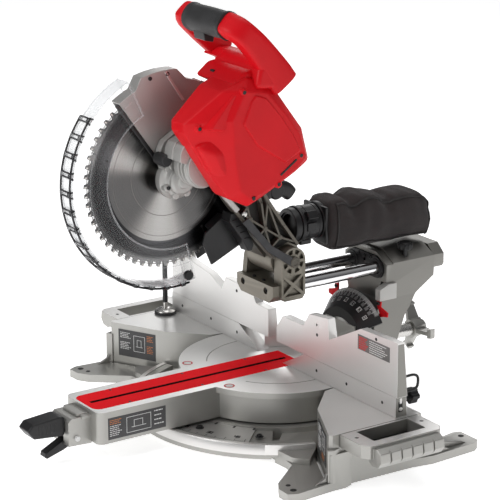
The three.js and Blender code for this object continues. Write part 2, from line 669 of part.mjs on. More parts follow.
const FINISH = { CASTING, MACHINED, OLIVE, RED, BLACK, RUBBER, CLOTH, CHROME, STEEL, CLEAR };

const PIECES = [
  ["base_casting", baseCasting, "CASTING"],
  ["miter_scale", miterScale, "MACHINED"],
  ["side_handle_right", sideHandle, "CASTING"],
  ["side_handle_left", () => mirrored(sideHandle()), "CASTING"],
  ["fixed_fence", fixedFence, "MACHINED"],
  ["sliding_fence_right", rightFence, "MACHINED"],
  ["sliding_fence_left", leftFence, "MACHINED"],
  ["fence_knob_right", () => fenceKnob(320), "BLACK"],
  ["fence_knob_left", () => fenceKnob(-230), "BLACK"],
  ["clamp_frame", clampFrame, "CASTING"],
  ["clamp_screw", clampScrew, "STEEL"],
  ["clamp_pad", clampPad, "RUBBER"],
  ["turntable", turntable, "CASTING"],
  ["kerf_plate", kerfPlate, "RED"],
  ["bevel_scale", bevelScale, "BLACK"],
  ["miter_lock_handle", miterHandle, "BLACK"],
  ["detent_lever", detentLever, "BLACK"],
  ["bevel_post", bevelPost, "CASTING"],
  ["bearing_plate", bearingPlate, "BLACK"],
  ["bevel_stop_pad", stopPad, "MACHINED"],
  ["bevel_pointer_right", pointer, "RED"],
  ["bevel_pointer_left", () => mirrored(pointer()), "RED"],
  ["bevel_shaft", bevelShaft, "STEEL"],
  ["bevel_lock_handle", bevelHandle, "BLACK"],
  ["slide_lock_knob", slideKnob, "BLACK"],
  ["rail_right", () => rail(1), "CHROME"],
  ["rail_left", () => rail(-1), "CHROME"],
  ["rail_end_cap", endCap, "CASTING"],
  ["pivot_bracket", pivotBracket, "OLIVE"],
  ["pivot_pin", pivotPin, "STEEL"],
  ["dust_tube", dustTube, "BLACK"],
  ["dust_adapter", dustAdapter, "BLACK"],
  ["dust_bag", dustBag, "CLOTH"],
  ["head_arm", headArm, "OLIVE"],
  ["gear_case", gearCase, "CASTING"],
  ["arm_bumper", bumper, "RUBBER"],
  ["upper_guard", upperGuard, "CASTING"],
  ["motor_housing", motorHousing, "RED"],
  ["handle_frame", handleFrame, "RED"],
  ["handle_grip", handleGrip, "RUBBER"],
  ["trigger", trigger, "BLACK"],
  ["lock_off_button", lockOff, "BLACK"],
  ["dust_chute", dustChute, "BLACK"],
  ["duct_elbow", ductElbow, "BLACK"],
  ["guard_link", guardLink, "STEEL"],
  ["lower_guard", lowerGuard, "CLEAR"],
  ["guard_roller", guardRoller, "BLACK"],
  ["saw_blade", sawBlade, "STEEL"],
  ["arbor", arbor, "STEEL"],
  ["blade_bolt", bladeBolt, "STEEL"],
];

function node(name, body, material) {
  const m = body.getMesh();
  const g = new THREE.BufferGeometry();
  g.setAttribute("position", new THREE.BufferAttribute(new Float32Array(m.vertProperties), 3));
  g.setIndex(new THREE.BufferAttribute(new Uint32Array(m.triVerts), 1));
  g.computeVertexNormals();
  const mesh = new THREE.Mesh(g, material);
  mesh.name = name;
  return mesh;
}

const saw = new THREE.Group();
saw.name = "miter_saw";
for (const [name, build, material] of PIECES) {
  saw.add(node(name, build(), FINISH[material]));
}
export default saw;
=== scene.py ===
"""Sliding miter saw: materials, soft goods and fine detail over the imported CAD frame.
The scene is in metres and shapes here are in millimetres. +X along the fence, +Y to the rear, +Z up;
the origin is on the bench under the turntable's axis."""
import math

import bmesh
import bpy
from mathutils import Matrix, Vector, noise


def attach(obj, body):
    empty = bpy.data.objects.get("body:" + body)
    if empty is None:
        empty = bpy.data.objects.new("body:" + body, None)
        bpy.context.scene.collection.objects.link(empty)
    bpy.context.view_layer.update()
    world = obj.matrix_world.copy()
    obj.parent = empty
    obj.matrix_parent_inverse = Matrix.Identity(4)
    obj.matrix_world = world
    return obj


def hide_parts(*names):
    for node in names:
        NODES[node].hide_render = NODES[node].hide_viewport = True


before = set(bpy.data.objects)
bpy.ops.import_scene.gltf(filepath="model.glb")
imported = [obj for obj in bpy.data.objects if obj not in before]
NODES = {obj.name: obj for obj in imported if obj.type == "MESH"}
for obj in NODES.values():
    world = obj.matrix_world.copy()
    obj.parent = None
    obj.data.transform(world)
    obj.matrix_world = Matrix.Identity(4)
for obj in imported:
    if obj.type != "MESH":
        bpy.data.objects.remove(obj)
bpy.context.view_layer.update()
MM = 0.001

BLADE_Y, BLADE_Z = -213, 447.5
BLADE = Vector((0, BLADE_Y, BLADE_Z)) * MM
PIVOT_AXIS = (-5, 281)      # (y, z) of the chop pivot
CROSSBAR = (-165, 702)      # (y, z) of the handle's crossbar
DUST_AXIS = (0, 325)        # (x, z) of the dust tube and adapter
CLAMP_AXIS = (-322, -23)    # (x, y) of the clamp's rod
NOSE_AXIS = (-405, 46)      # (y, z) of the plugs in the table arm's nose
RAIL_X, RAIL_Z = 34, 230.5
TABLE_Z = 90 * MM
SCALE_TOP = 31
SCALE_RATIO = 0.86          # the miter scale's printed degrees are closer together than the turn


# ---------------------------------------------------------------- materials

def link(tree, a, b):
    tree.links.new(a, b)


def new_material(name):
    mat = bpy.data.materials.new(name)
    mat.use_nodes = True
    shader = mat.node_tree.nodes["Principled BSDF"]
    return mat, mat.node_tree, shader


def noise_node(tree, vector, scale, detail=4.0, stretch=None):
    node = tree.nodes.new("ShaderNodeTexNoise")
    node.inputs["Scale"].default_value = scale
    node.inputs["Detail"].default_value = detail
    if stretch is not None:
        mapping = tree.nodes.new("ShaderNodeMapping")
        mapping.inputs["Scale"].default_value = stretch
        link(tree, vector, mapping.inputs["Vector"])
        vector = mapping.outputs["Vector"]
    link(tree, vector, node.inputs["Vector"])
    return node.outputs["Fac"]


def ramp(tree, fac, stops):
    node = tree.nodes.new("ShaderNodeValToRGB")
    elements = node.color_ramp.elements
    while len(elements) < len(stops):
        elements.new(0.5)
    for element, (position, colour) in zip(elements, stops):
        element.position = position
        element.color = (*colour, 1)
    link(tree, fac, node.inputs["Fac"])
    return node.outputs["Color"]


def spread(tree, fac, low, high):
    node = tree.nodes.new("ShaderNodeMapRange")
    node.inputs["From Min"].default_value = 0.3
    node.inputs["From Max"].default_value = 0.7
    node.inputs["To Min"].default_value = low
    node.inputs["To Max"].default_value = high
    link(tree, fac, node.inputs["Value"])
    return node.outputs["Result"]


def bumped(tree, shader, height, strength, distance):
    node = tree.nodes.new("ShaderNodeBump")
    node.inputs["Strength"].default_value = strength
    node.inputs["Distance"].default_value = distance
    link(tree, height, node.inputs["Height"])
    link(tree, node.outputs["Normal"], shader.inputs["Normal"])


def math_node(tree, operation, a, b=None):
    node = tree.nodes.new("ShaderNodeMath")
    node.operation = operation
    for socket_in, value in zip(node.inputs, (a, b)):
        if value is None:
            continue
        if hasattr(value, "is_linked"):
            link(tree, value, socket_in)
        else:
            socket_in.default_value = value
    return node.outputs[0]


def object_coords(tree):
    return tree.nodes.new("ShaderNodeTexCoord").outputs["Object"]


def shade(colour, factor):
    return tuple(min(1.0, c * factor) for c in colour)


def finish_material(name, colour, rough, metallic, blotch=14, grain=900, bump=0.25, depth=0.0002,
                    contrast=0.12, stretch=None, coat=0.0, specular=0.5):
    """Mottled colour, uneven roughness and a fine surface grain."""
    mat, tree, shader = new_material(name)
    where = object_coords(tree)
    patches = noise_node(tree, where, blotch, 5)
    fine = noise_node(tree, where, grain, 3, stretch)
    link(tree, ramp(tree, patches, [(0.3, shade(colour, 1 - contrast)), (0.7, shade(colour, 1 + contrast))]),
         shader.inputs["Base Color"])
    link(tree, spread(tree, fine, max(0.02, rough - 0.08), min(1.0, rough + 0.08)),
         shader.inputs["Roughness"])
    shader.inputs["Metallic"].default_value = metallic
    shader.inputs["Coat Weight"].default_value = coat
    shader.inputs["Coat Roughness"].default_value = 0.15
    shader.inputs["Specular IOR Level"].default_value = specular
    bumped(tree, shader, fine, bump, depth)
    return mat


def worn_casting(name, colour, rough, metallic):
    """Painted casting: pebbled paint, with a painted highlight that lightens its sharp edges."""
    mat, tree, shader = new_material(name)
    where = object_coords(tree)
    patches = noise_node(tree, where, 9, 6)
    pebble = noise_node(tree, where, 700, 2)
    geometry = tree.nodes.new("ShaderNodeNewGeometry")
    # painted highlight: sharp convex edges, found by pointiness, are mixed towards a lighter copy of the
    # colour
    edge = ramp(tree, geometry.outputs["Pointiness"], [(0.52, (0, 0, 0)), (0.60, (0.7, 0.7, 0.7))])
    body = ramp(tree, patches, [(0.3, shade(colour, 0.92)), (0.7, shade(colour, 1.06))])
    mix = tree.nodes.new("ShaderNodeMix")
    mix.data_type = "RGBA"
    link(tree, edge, mix.inputs["Factor"])
    link(tree, body, mix.inputs["A"])
    mix.inputs["B"].default_value = (*shade(colour, 1.35), 1)
    link(tree, mix.outputs["Result"], shader.inputs["Base Color"])
    link(tree, spread(tree, patches, rough - 0.06, rough + 0.06), shader.inputs["Roughness"])
    shader.inputs["Metallic"].default_value = metallic
    bumped(tree, shader, pebble, 0.18, 0.0003)
    return mat


def radius_about(tree, centre, drop_axis):
    """Distance from a centre, measured across one axis."""
    where = object_coords(tree)
    shift = tree.nodes.new("ShaderNodeVectorMath")
    shift.operation = "SUBTRACT"
    shift.inputs[1].default_value = centre
    link(tree, where, shift.inputs[0])
    flat = tree.nodes.new("ShaderNodeVectorMath")
    flat.operation = "MULTIPLY"
    flat.inputs[1].default_value = tuple(0 if i == drop_axis else 1 for i in range(3))
    link(tree, shift.outputs["Vector"], flat.inputs[0])
    length = tree.nodes.new("ShaderNodeVectorMath")
    length.operation = "LENGTH"
    link(tree, flat.outputs["Vector"], length.inputs[0])
    return length.outputs["Value"]


def blade_material():
    """Ground steel in rings: brushed plate with painted highlight wedges and a painted glint line, and a
    polished band behind the teeth painted dark as a painted reflection.
    """
    mat, tree, shader = new_material("blade_steel")
    radius = radius_about(tree, BLADE, 0)
    rings = tree.nodes.new("ShaderNodeTexNoise")
    rings.noise_dimensions = "1D"
    rings.inputs["Scale"].default_value = 3500
    rings.inputs["Detail"].default_value = 2
    link(tree, radius, rings.inputs["W"])
    scaled = math_node(tree, "MULTIPLY", radius, 5)
    # radial tones: a polished ring from about r 109 to 134 mm painted near black, a painted reflection of
    # dark surroundings; lighter plate inside it and towards the teeth
    band = ramp(tree, scaled, [(0.0, (0.42, 0.41, 0.40)), (0.540, (0.42, 0.41, 0.40)),
                               (0.546, (0.10, 0.10, 0.105)), (0.672, (0.05, 0.05, 0.052)),
                               (0.70, (0.22, 0.22, 0.22)), (0.80, (0.34, 0.34, 0.34))])
    # painted highlight: by angle about the arbor, bright wedges below and above it and a thin glint line
    # towards the upper front, multiplied into the colour
    split = tree.nodes.new("ShaderNodeSeparateXYZ")
    link(tree, object_coords(tree), split.inputs["Vector"])
    along = math_node(tree, "SUBTRACT", split.outputs["Y"], BLADE.y)
    above = math_node(tree, "SUBTRACT", split.outputs["Z"], BLADE.z)
    turn = math_node(tree, "ARCTAN2", above, along)
    wedge = math_node(tree, "COSINE", math_node(tree, "MULTIPLY", math_node(tree, "SUBTRACT", turn, -1.75),
                                                2))
    narrow = math_node(tree, "POWER", math_node(tree, "MAXIMUM", wedge, 0), 3)
    painted_glint = math_node(tree, "COSINE", math_node(tree, "SUBTRACT", turn, 2.72))
    painted_glint = math_node(tree, "POWER", math_node(tree, "MAXIMUM", painted_glint, 0), 60)
    narrow = math_node(tree, "MINIMUM", math_node(tree, "ADD", narrow, painted_glint), 1)
    painted_sheen = ramp(tree, narrow, [(0.0, (0.28, 0.28, 0.285)), (0.5, (0.8, 0.79, 0.78)), (1.0, (1, 1, 1))])
    mix = tree.nodes.new("ShaderNodeMix")
    mix.data_type = "RGBA"
    mix.blend_type = "MULTIPLY"
    mix.inputs["Factor"].default_value = 1
    link(tree, band, mix.inputs["A"])
    link(tree, painted_sheen, mix.inputs["B"])
    link(tree, mix.outputs["Result"], shader.inputs["Base Color"])
    link(tree, spread(tree, rings.outputs["Fac"], 0.22, 0.36), shader.inputs["Roughness"])
    shader.inputs["Metallic"].default_value = 1.0
    shader.inputs["Anisotropic"].default_value = 0.7
    tangent = tree.nodes.new("ShaderNodeTangent")
    tangent.direction_type = "RADIAL"
    tangent.axis = "X"
    link(tree, tangent.outputs["Tangent"], shader.inputs["Tangent"])
    bumped(tree, shader, rings.outputs["Fac"], 0.08, 0.0001)
    return mat


def clear_material(name, tint, body):
    """Clear moulding: see-through face on, whiter where it turns away; body is how solid it looks."""
    mat, tree, shader = new_material(name)
    where = object_coords(tree)
    swirl = noise_node(tree, where, 18, 3)
    link(tree, ramp(tree, swirl, [(0.3, shade(tint, 0.95)), (0.7, tint)]), shader.inputs["Base Color"])
    link(tree, spread(tree, swirl, 0.03, 0.12), shader.inputs["Roughness"])
    shader.inputs["IOR"].default_value = 1.45
    facing = tree.nodes.new("ShaderNodeLayerWeight")
    facing.inputs["Blend"].default_value = 0.45
    link(tree, ramp(tree, facing.outputs["Facing"], [(0.0, shade((1, 1, 1), 0.10 * body)),
                                                     (0.5, shade((1, 1, 1), 0.35 * body)),
                                                     (1.0, shade((1, 1, 1), min(1.0, 0.6 + body)))]),
         shader.inputs["Alpha"])
    bumped(tree, shader, swirl, 0.08, 0.001)
    return mat


def cloth_material():
    """Close weave: three crossed thread waves, with slubs in the colour."""
    mat, tree, shader = new_material("bag_cloth")
    where = object_coords(tree)
    waves = []
    for direction in ("X", "Y", "Z"):
        wave = tree.nodes.new("ShaderNodeTexWave")
        wave.bands_direction = direction
        wave.inputs["Scale"].default_value = 320
        wave.inputs["Distortion"].default_value = 0.6
        link(tree, where, wave.inputs["Vector"])
        waves.append(wave.outputs["Fac"])
    total = waves[0]
    for wave in waves[1:]:
        total = math_node(tree, "ADD", total, wave)
    slub = noise_node(tree, where, 60, 5)
    link(tree, ramp(tree, slub, [(0.3, (0.019, 0.0145, 0.0145)), (0.7, (0.032, 0.025, 0.0245))]),
         shader.inputs["Base Color"])
    link(tree, spread(tree, slub, 0.82, 0.96), shader.inputs["Roughness"])
    shader.inputs["Sheen Weight"].default_value = 0.12
    shader.inputs["Sheen Roughness"].default_value = 0.5
    bumped(tree, shader, total, 0.35, 0.0004)
    return mat


def ink(name, colour, rough=0.5):
    return finish_material(name, colour, rough, 0.0, blotch=90, grain=1500, bump=0.1)


MAT = {
    "casting": worn_casting("painted_casting", (0.385, 0.38, 0.36), 0.36, 0.72),
    "casting_dark": worn_casting("post_casting", (0.215, 0.21, 0.195), 0.38, 0.7),
    "web_dark": worn_casting("web_shadow", (0.018, 0.017, 0.015), 0.6, 0.2),
    "cast_silver": worn_casting("bare_casting", (0.44, 0.435, 0.42), 0.5, 0.6),
    "machined": finish_material("machined_face", (0.80, 0.79, 0.775), 0.40, 0.8, blotch=4, grain=2200,
                                bump=0.02, contrast=0.04, stretch=(0.03, 1, 1)),
    "machined_bright": finish_material("machined_band", (0.78, 0.77, 0.755), 0.36, 0.85, blotch=6,
                                       grain=2200, bump=0.02, contrast=0.03, stretch=(1, 1, 0.05)),
    "table_top": finish_material("machined_top", (0.82, 0.815, 0.80), 0.38, 0.8, blotch=6, grain=1800,
                                 bump=0.03, contrast=0.05),
    "arm_dark": worn_casting("arm_casting", (0.075, 0.070, 0.060), 0.40, 0.5),
    "rib_olive": worn_casting("rib_casting", (0.105, 0.096, 0.080), 0.42, 0.5),
    "olive": worn_casting("bracket_casting", (0.19, 0.175, 0.145), 0.40, 0.6),
    "red_paint": finish_material("red_plate_paint", (1.0, 0.006, 0.014), 0.7, 0.0, blotch=20, grain=800,
                                 bump=0.08, contrast=0.04, specular=0.1),
    "red_plastic": finish_material("red_moulding", (0.66, 0.004, 0.010), 0.42, 0.0, blotch=12, grain=1500,
                                   bump=0.15, depth=0.0001, contrast=0.06, specular=0.22),
    "black": finish_material("black_moulding", (0.012, 0.012, 0.013), 0.38, 0.0, blotch=25, grain=1400,
                             bump=0.2, contrast=0.25, specular=0.4),
    "rubber": finish_material("grip_rubber", (0.020, 0.020, 0.021), 0.58, 0.0, blotch=40, grain=1100,
                              bump=0.4, contrast=0.3),
    "chrome": finish_material("hard_chrome", (0.80, 0.80, 0.81), 0.10, 1.0, blotch=10, grain=500, bump=0.02,
                              contrast=0.03, stretch=(1, 0.03, 1)),
    "steel": finish_material("turned_steel", (0.58, 0.57, 0.55), 0.27, 1.0, blotch=30, grain=900, bump=0.1),
    "guard_steel": finish_material("brushed_guard", (0.50, 0.49, 0.475), 0.46, 0.75, blotch=5, grain=2600,
                                   bump=0.02, depth=0.0001, contrast=0.05),
    "dark_steel": finish_material("dark_screws", (0.05, 0.05, 0.052), 0.35, 0.8, blotch=60, grain=1500,
                                  bump=0.2),
    "carbide": finish_material("carbide_tips", (0.60, 0.58, 0.55), 0.30, 1.0, blotch=200, grain=2500,
                               bump=0.2),
    "blade": blade_material(),
    "blade_print": finish_material("blade_print", (0.20, 0.19, 0.18), 0.45, 0.4, blotch=80, grain=1500,
                                   bump=0.05),
    "clear": clear_material("clear_guard", (0.95, 0.96, 0.97), 0.16),
    "clear_rib": clear_material("clear_guard_ribs", (0.02, 0.02, 0.022), 9),
    # clear guard edging: a whitish, nearly solid moulding; its brightness on the rolled edges and rim is a
    # painted highlight
    "clear_edge": clear_material("clear_guard_edge", (0.88, 0.90, 0.92), 0.9),
    "cloth": cloth_material(),
    "piping": finish_material("bag_piping", (0.016, 0.013, 0.013), 0.55, 0.0, blotch=60, grain=1600,
                              bump=0.5, contrast=0.3),
    "white_ink": ink("white_marks", (0.75, 0.75, 0.74)),
    "grey_ink": ink("grey_marks", (0.20, 0.20, 0.20)),
    # dark marks: real print on the scales and plates, and also painted shade in holes, slots, vents, notches
    # and the cut
    "dark_ink_and_shade": ink("dark_marks_and_shade", (0.012, 0.012, 0.012), 0.6),
    "orange_ink": ink("orange_marks", (0.62, 0.20, 0.05)),
    "red_ink": ink("red_marks", (0.55, 0.02, 0.02)),
    "plate_scale": finish_material("scale_plate", (0.52, 0.515, 0.50), 0.40, 0.7, blotch=8, grain=900,
                                   bump=0.05),
    "plate_dark": finish_material("plate_ground", (0.06, 0.06, 0.062), 0.42, 0.2, blotch=40, grain=900,
                                  bump=0.05),
    "plate_light": finish_material("plate_light_ground", (0.16, 0.157, 0.152), 0.42, 0.3, blotch=40,
                                   grain=900, bump=0.05),
}


# ---------------------------------------------------------------- mesh helpers

def axes(axis):
    """The two in-plane axes that go with an axis: x keeps (y, z), y keeps (x, z), z keeps (x, y)."""
    return {"x": (1, 2, 0), "y": (0, 2, 1), "z": (0, 1, 2)}[axis]


def spot(axis, u, v, w):
    i, j, k = axes(axis)
    point = [0.0, 0.0, 0.0]
    point[i], point[j], point[k] = u, v, w
    return tuple(point)


def extruded(axis, outline, a, b, inset=0.0):
    """A straight bar of an outline; inset draws the b end in towards the outline's middle, for a chamfer."""
    n = len(outline)
    cu = sum(p[0] for p in outline) / n
    cv = sum(p[1] for p in outline) / n
    far = [(u + (cu - u) * inset, v + (cv - v) * inset) for u, v in outline]
    verts = [spot(axis, u, v, a) for u, v in outline] + [spot(axis, u, v, b) for u, v in far]
    faces = [tuple(range(n)), tuple(range(2 * n - 1, n - 1, -1))]
    faces += [(i, i + n, (i + 1) % n + n, (i + 1) % n) for i in range(n)]
    return verts, faces


def slab(x0, x1, y0, y1, z0, z1):
    return extruded("z", [(x0, y0), (x1, y0), (x1, y1), (x0, y1)], z0, z1)


def lathed(axis, u, v, profile, sides=24):
    """A turned shape: profile is (radius, place along the axis), on the axis at both ends."""
    verts, rows = [], []
    for radius, w in profile:
        if radius < 1e-6:
            rows.append([len(verts)])
            verts.append(spot(axis, u, v, w))
            continue
        rows.append(list(range(len(verts), len(verts) + sides)))
        for s in range(sides):
            t = 2 * math.pi * s / sides
            verts.append(spot(axis, u + radius * math.cos(t), v + radius * math.sin(t), w))
    faces = []
    for low, high in zip(rows, rows[1:]):
        for s in range(sides):
            t = (s + 1) % sides
            if len(low) == 1 and len(high) == 1:
                continue
            if len(low) == 1:
                faces.append((low[0], high[s], high[t]))
            elif len(high) == 1:
                faces.append((low[s], high[0], low[t]))
            else:
                faces.append((low[s], high[s], high[t], low[t]))
    return verts, faces


def disc(radius, a, b):
    """Profile of a plain disc between two places on its axis."""
    return [(0, a), (radius, a), (radius, b), (0, b)]


def hoop(inner, outer, a, b):
    """Profile of a closed ring."""
    return [(inner, a), (outer, a), (outer, b), (inner, b), (inner, a)]


def around(u, v, radius, degrees):
    """The point at a radius and angle about (u, v)."""
    t = math.radians(degrees)
    return u + radius * math.cos(t), v + radius * math.sin(t)


def ray_and_side(degrees):
    """Unit vectors out along an angle on the bench plane, and square to it."""
    t = math.radians(degrees)
    return Vector((math.cos(t), math.sin(t), 0)), Vector((-math.sin(t), math.cos(t), 0))


def boxed(low, high):
    """A box from its four low corners and the four above them."""
    return low + high, [(3, 2, 1, 0), (4, 5, 6, 7), (0, 1, 5, 4), (1, 2, 6, 5), (2, 3, 7, 6), (3, 0, 4, 7)]


def painted(shapes, material):
    return [(shape, material) for shape in shapes]


def lofted(rings):
    """A skin over rings of equal count, closed by a face at each end."""
    n = len(rings[0])
    verts = [tuple(p) for ring in rings for p in ring]
    faces = [tuple(range(n)), tuple(range(len(verts) - 1, len(verts) - n - 1, -1))]
    for r in range(len(rings) - 1):
        a, b = r * n, (r + 1) * n
        faces += [(a + i, b + i, b + (i + 1) % n, a + (i + 1) % n) for i in range(n)]
    return verts, faces


def swept(path, size, sides=16, power=2.0):
    """A rod along a path. size is (half height, half width) at each point, or one pair; power 2 is round,
    more is squarer."""
    points = [Vector(p) for p in path]
    sizes = [size] * len(points) if isinstance(size, tuple) else size
    side, rings = None, []
    for i, point in enumerate(points):
        ahead = (points[min(i + 1, len(points) - 1)] - points[max(i - 1, 0)]).normalized()
        if side is None:
            side = ahead.cross(Vector((0, 0.6, 0.8)) if abs(ahead.x) > 0.7
                               else Vector((1, 0, 0))).normalized()
        side = (side - ahead * side.dot(ahead)).normalized()
        other = ahead.cross(side)
        ring = []
        for s in range(sides):
            t = 2 * math.pi * s / sides
            c, d = math.cos(t), math.sin(t)
            ring.append(point + side * sizes[i][0] * math.copysign(abs(c) ** (2 / power), c)
                        + other * sizes[i][1] * math.copysign(abs(d) ** (2 / power), d))
        rings.append(ring)
    return lofted(rings)


def smooth_path(points, steps=6):
    """Catmull-Rom through the points."""
    pts = [Vector(p) for p in points]
    pts = [pts[0] * 2 - pts[1]] + pts + [pts[-1] * 2 - pts[-2]]
    out = []
    for i in range(1, len(pts) - 2):
        a, b, c, d = pts[i - 1:i + 3]
        for s in range(steps):
            t = s / steps
            out.append(0.5 * (2 * b + (c - a) * t + (2 * a - 5 * b + 4 * c - d) * t * t
                              + (3 * b - a - 3 * c + d) * t ** 3))
    return out + [pts[-2]]


def screw(axis, u, v, w, radius, out=1, height=None):
    """A socket head screw standing out of a face."""
    h = radius * 0.7 if height is None else height
    profile = [(0, w - out * 1), (radius, w - out * 1), (radius, w + out * h * 0.8),
               (radius * 0.85, w + out * h), (radius * 0.5, w + out * h),
               (radius * 0.42, w + out * h * 0.35), (0, w + out * h * 0.35)]
    return lathed(axis, u, v, profile, 18)


def socket(axis, u, v, w, radius, out=1):
    """A dark screw deep in its hole, with a thin rim about it."""
    profile = [(0, w), (radius * 0.55, w), (radius * 0.62, w + out * 0.5), (radius, w + out * 0.5),
               (radius * 1.05, w - out * 0.6), (0, w - out * 0.6)]
    return lathed(axis, u, v, profile, 20)


def on_blade(radius, degrees):
    """(y, z) at a radius and angle about the arbor; 0 points to the front, 90 up."""
    t = math.radians(degrees)
    return BLADE.y / MM - radius * math.cos(t), BLADE.z / MM + radius * math.sin(t)


def piece(name, body, parts, bevel=0.0, sharp=35, segments=2):
    """One object from (geometry, material) pairs given in millimetres, riding on a CAD body."""
    mesh = bpy.data.meshes.new(name)
    bm = bmesh.new()
    slots = []
    for (verts, faces), material in parts:
        if material not in slots:
            slots.append(material)
        made = [bm.verts.new(Vector(p) * MM) for p in verts]
        fresh = []
        for face in faces:
            made_face = bm.faces.new([made[i] for i in face])
            made_face.material_index = slots.index(material)
            made_face.smooth = True
            fresh.append(made_face)
        bmesh.ops.recalc_face_normals(bm, faces=fresh)
    bm.to_mesh(mesh)
    bm.free()
    for material in slots:
        mesh.materials.append(MAT[material])
    mesh.set_sharp_from_angle(angle=math.radians(sharp))
    obj = bpy.data.objects.new(name, mesh)
    bpy.context.scene.collection.objects.link(obj)
    if bevel:
        edge = obj.modifiers.new("edge", "BEVEL")
        edge.width = bevel * MM
        edge.segments = segments
        edge.limit_method = "ANGLE"
        edge.angle_limit = math.radians(sharp)
        edge.miter_outer = "MITER_ARC"
        obj.modifiers.new("normals", "WEIGHTED_NORMAL")
    if body:
        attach(obj, body)
    return obj


# ---------------------------------------------------------------- CAD pieces

EDGE_ANGLE = 34     # degrees; sharper edges than this are rounded
FLAT_ANGLE = 0.8    # degrees; facets flatter than this are joined first


def soften(node, width):
    """Rounds a CAD node's edges for the light to catch; its own vertices stay as they are."""
    obj = NODES[node]
    mesh = obj.data
    if "custom_normal" in mesh.attributes:
        mesh.attributes.remove(mesh.attributes["custom_normal"])
    mesh.polygons.foreach_set("use_smooth", [True] * len(mesh.polygons))
    weld = obj.modifiers.new("weld", "WELD")
    weld.merge_threshold = 1e-5
    flat = obj.modifiers.new("flat", "DECIMATE")
    flat.decimate_type = "DISSOLVE"
    flat.angle_limit = math.radians(FLAT_ANGLE)
    bevel = obj.modifiers.new("edge", "BEVEL")
    bevel.width = width * MM
    bevel.segments = 2
    bevel.limit_method = "ANGLE"
    bevel.angle_limit = math.radians(EDGE_ANGLE)
    bevel.use_clamp_overlap = True
    bevel.miter_outer = "MITER_ARC"
    normal = obj.modifiers.new("normals", "WEIGHTED_NORMAL")
    normal.keep_sharp = False


# CAD nodes that stay as they are: material, and edge rounding in millimetres
DRESSED = {
    "base_casting": ("casting", 2.2), "side_handle_right": ("casting", 1.6), "side_handle_left": ("casting",
                                                                                                  1.6),
    "miter_scale": ("plate_scale", 0.3), "fixed_fence": ("machined", 0.8),
           "sliding_fence_right": ("machined", 1.0),
    "sliding_fence_left": ("machined", 1.0), "fence_knob_right": ("black", 1.2),
           "fence_knob_left": ("black", 1.2),
    "clamp_frame": ("casting", 1.5), "clamp_screw": ("steel", 0.8), "clamp_pad": ("rubber", 0.8),
    "turntable": ("casting", 1.6), "kerf_plate": ("red_paint", 0), "bevel_scale": ("black", 0.6),
    "miter_lock_handle": ("black", 2.5), "detent_lever": ("black", 1.2), "bevel_post": ("casting_dark",
                                                                                        2.0),
    "bearing_plate": ("black", 0.8), "bevel_stop_pad": ("cast_silver", 0.8), "bevel_shaft": ("steel", 0.6),
    "bevel_lock_handle": ("casting", 1.6),
    "slide_lock_knob": ("black", 0.8), "rail_right": ("chrome", 0.6), "rail_left": ("chrome", 0.6),
    "rail_end_cap": ("casting_dark", 2.0), "pivot_bracket": ("olive", 1.0), "pivot_pin": ("steel", 0.6),
    "dust_tube": ("black", 0.6), "dust_adapter": ("black", 0.9),
    "arm_bumper": ("rubber", 1.0), "upper_guard": ("guard_steel", 0.7), "trigger": ("black", 1.2),
    "lock_off_button": ("black", 0.8), "dust_chute": ("black", 1.2),
    "lower_guard": ("clear", 0.5), "guard_roller": ("black", 0.8),
    "saw_blade": ("blade", 0.15), "arbor": ("steel", 0.5), "blade_bolt": ("steel", 0.5),
}


def machine_top(node, material):
    """The faces of a casting that lie at the table's height are ground bright."""
    mesh = NODES[node].data
    mesh.materials.append(MAT[material])
    for face in mesh.polygons:
        if face.normal.z > 0.99 and abs(face.center.z - TABLE_Z) < 0.6 * MM:
            face.material_index = 1


def dress_all():
    for node, (material, width) in DRESSED.items():
        if width:
            soften(node, width)
        slots = NODES[node].data.materials
        slots.clear()
        slots.append(MAT[material])
    for node in ("base_casting", "turntable"):
        machine_top(node, "table_top")
    for node in ("side_handle_right", "side_handle_left"):
        machine_top(node, "machined_bright")


# ---------------------------------------------------------------- head

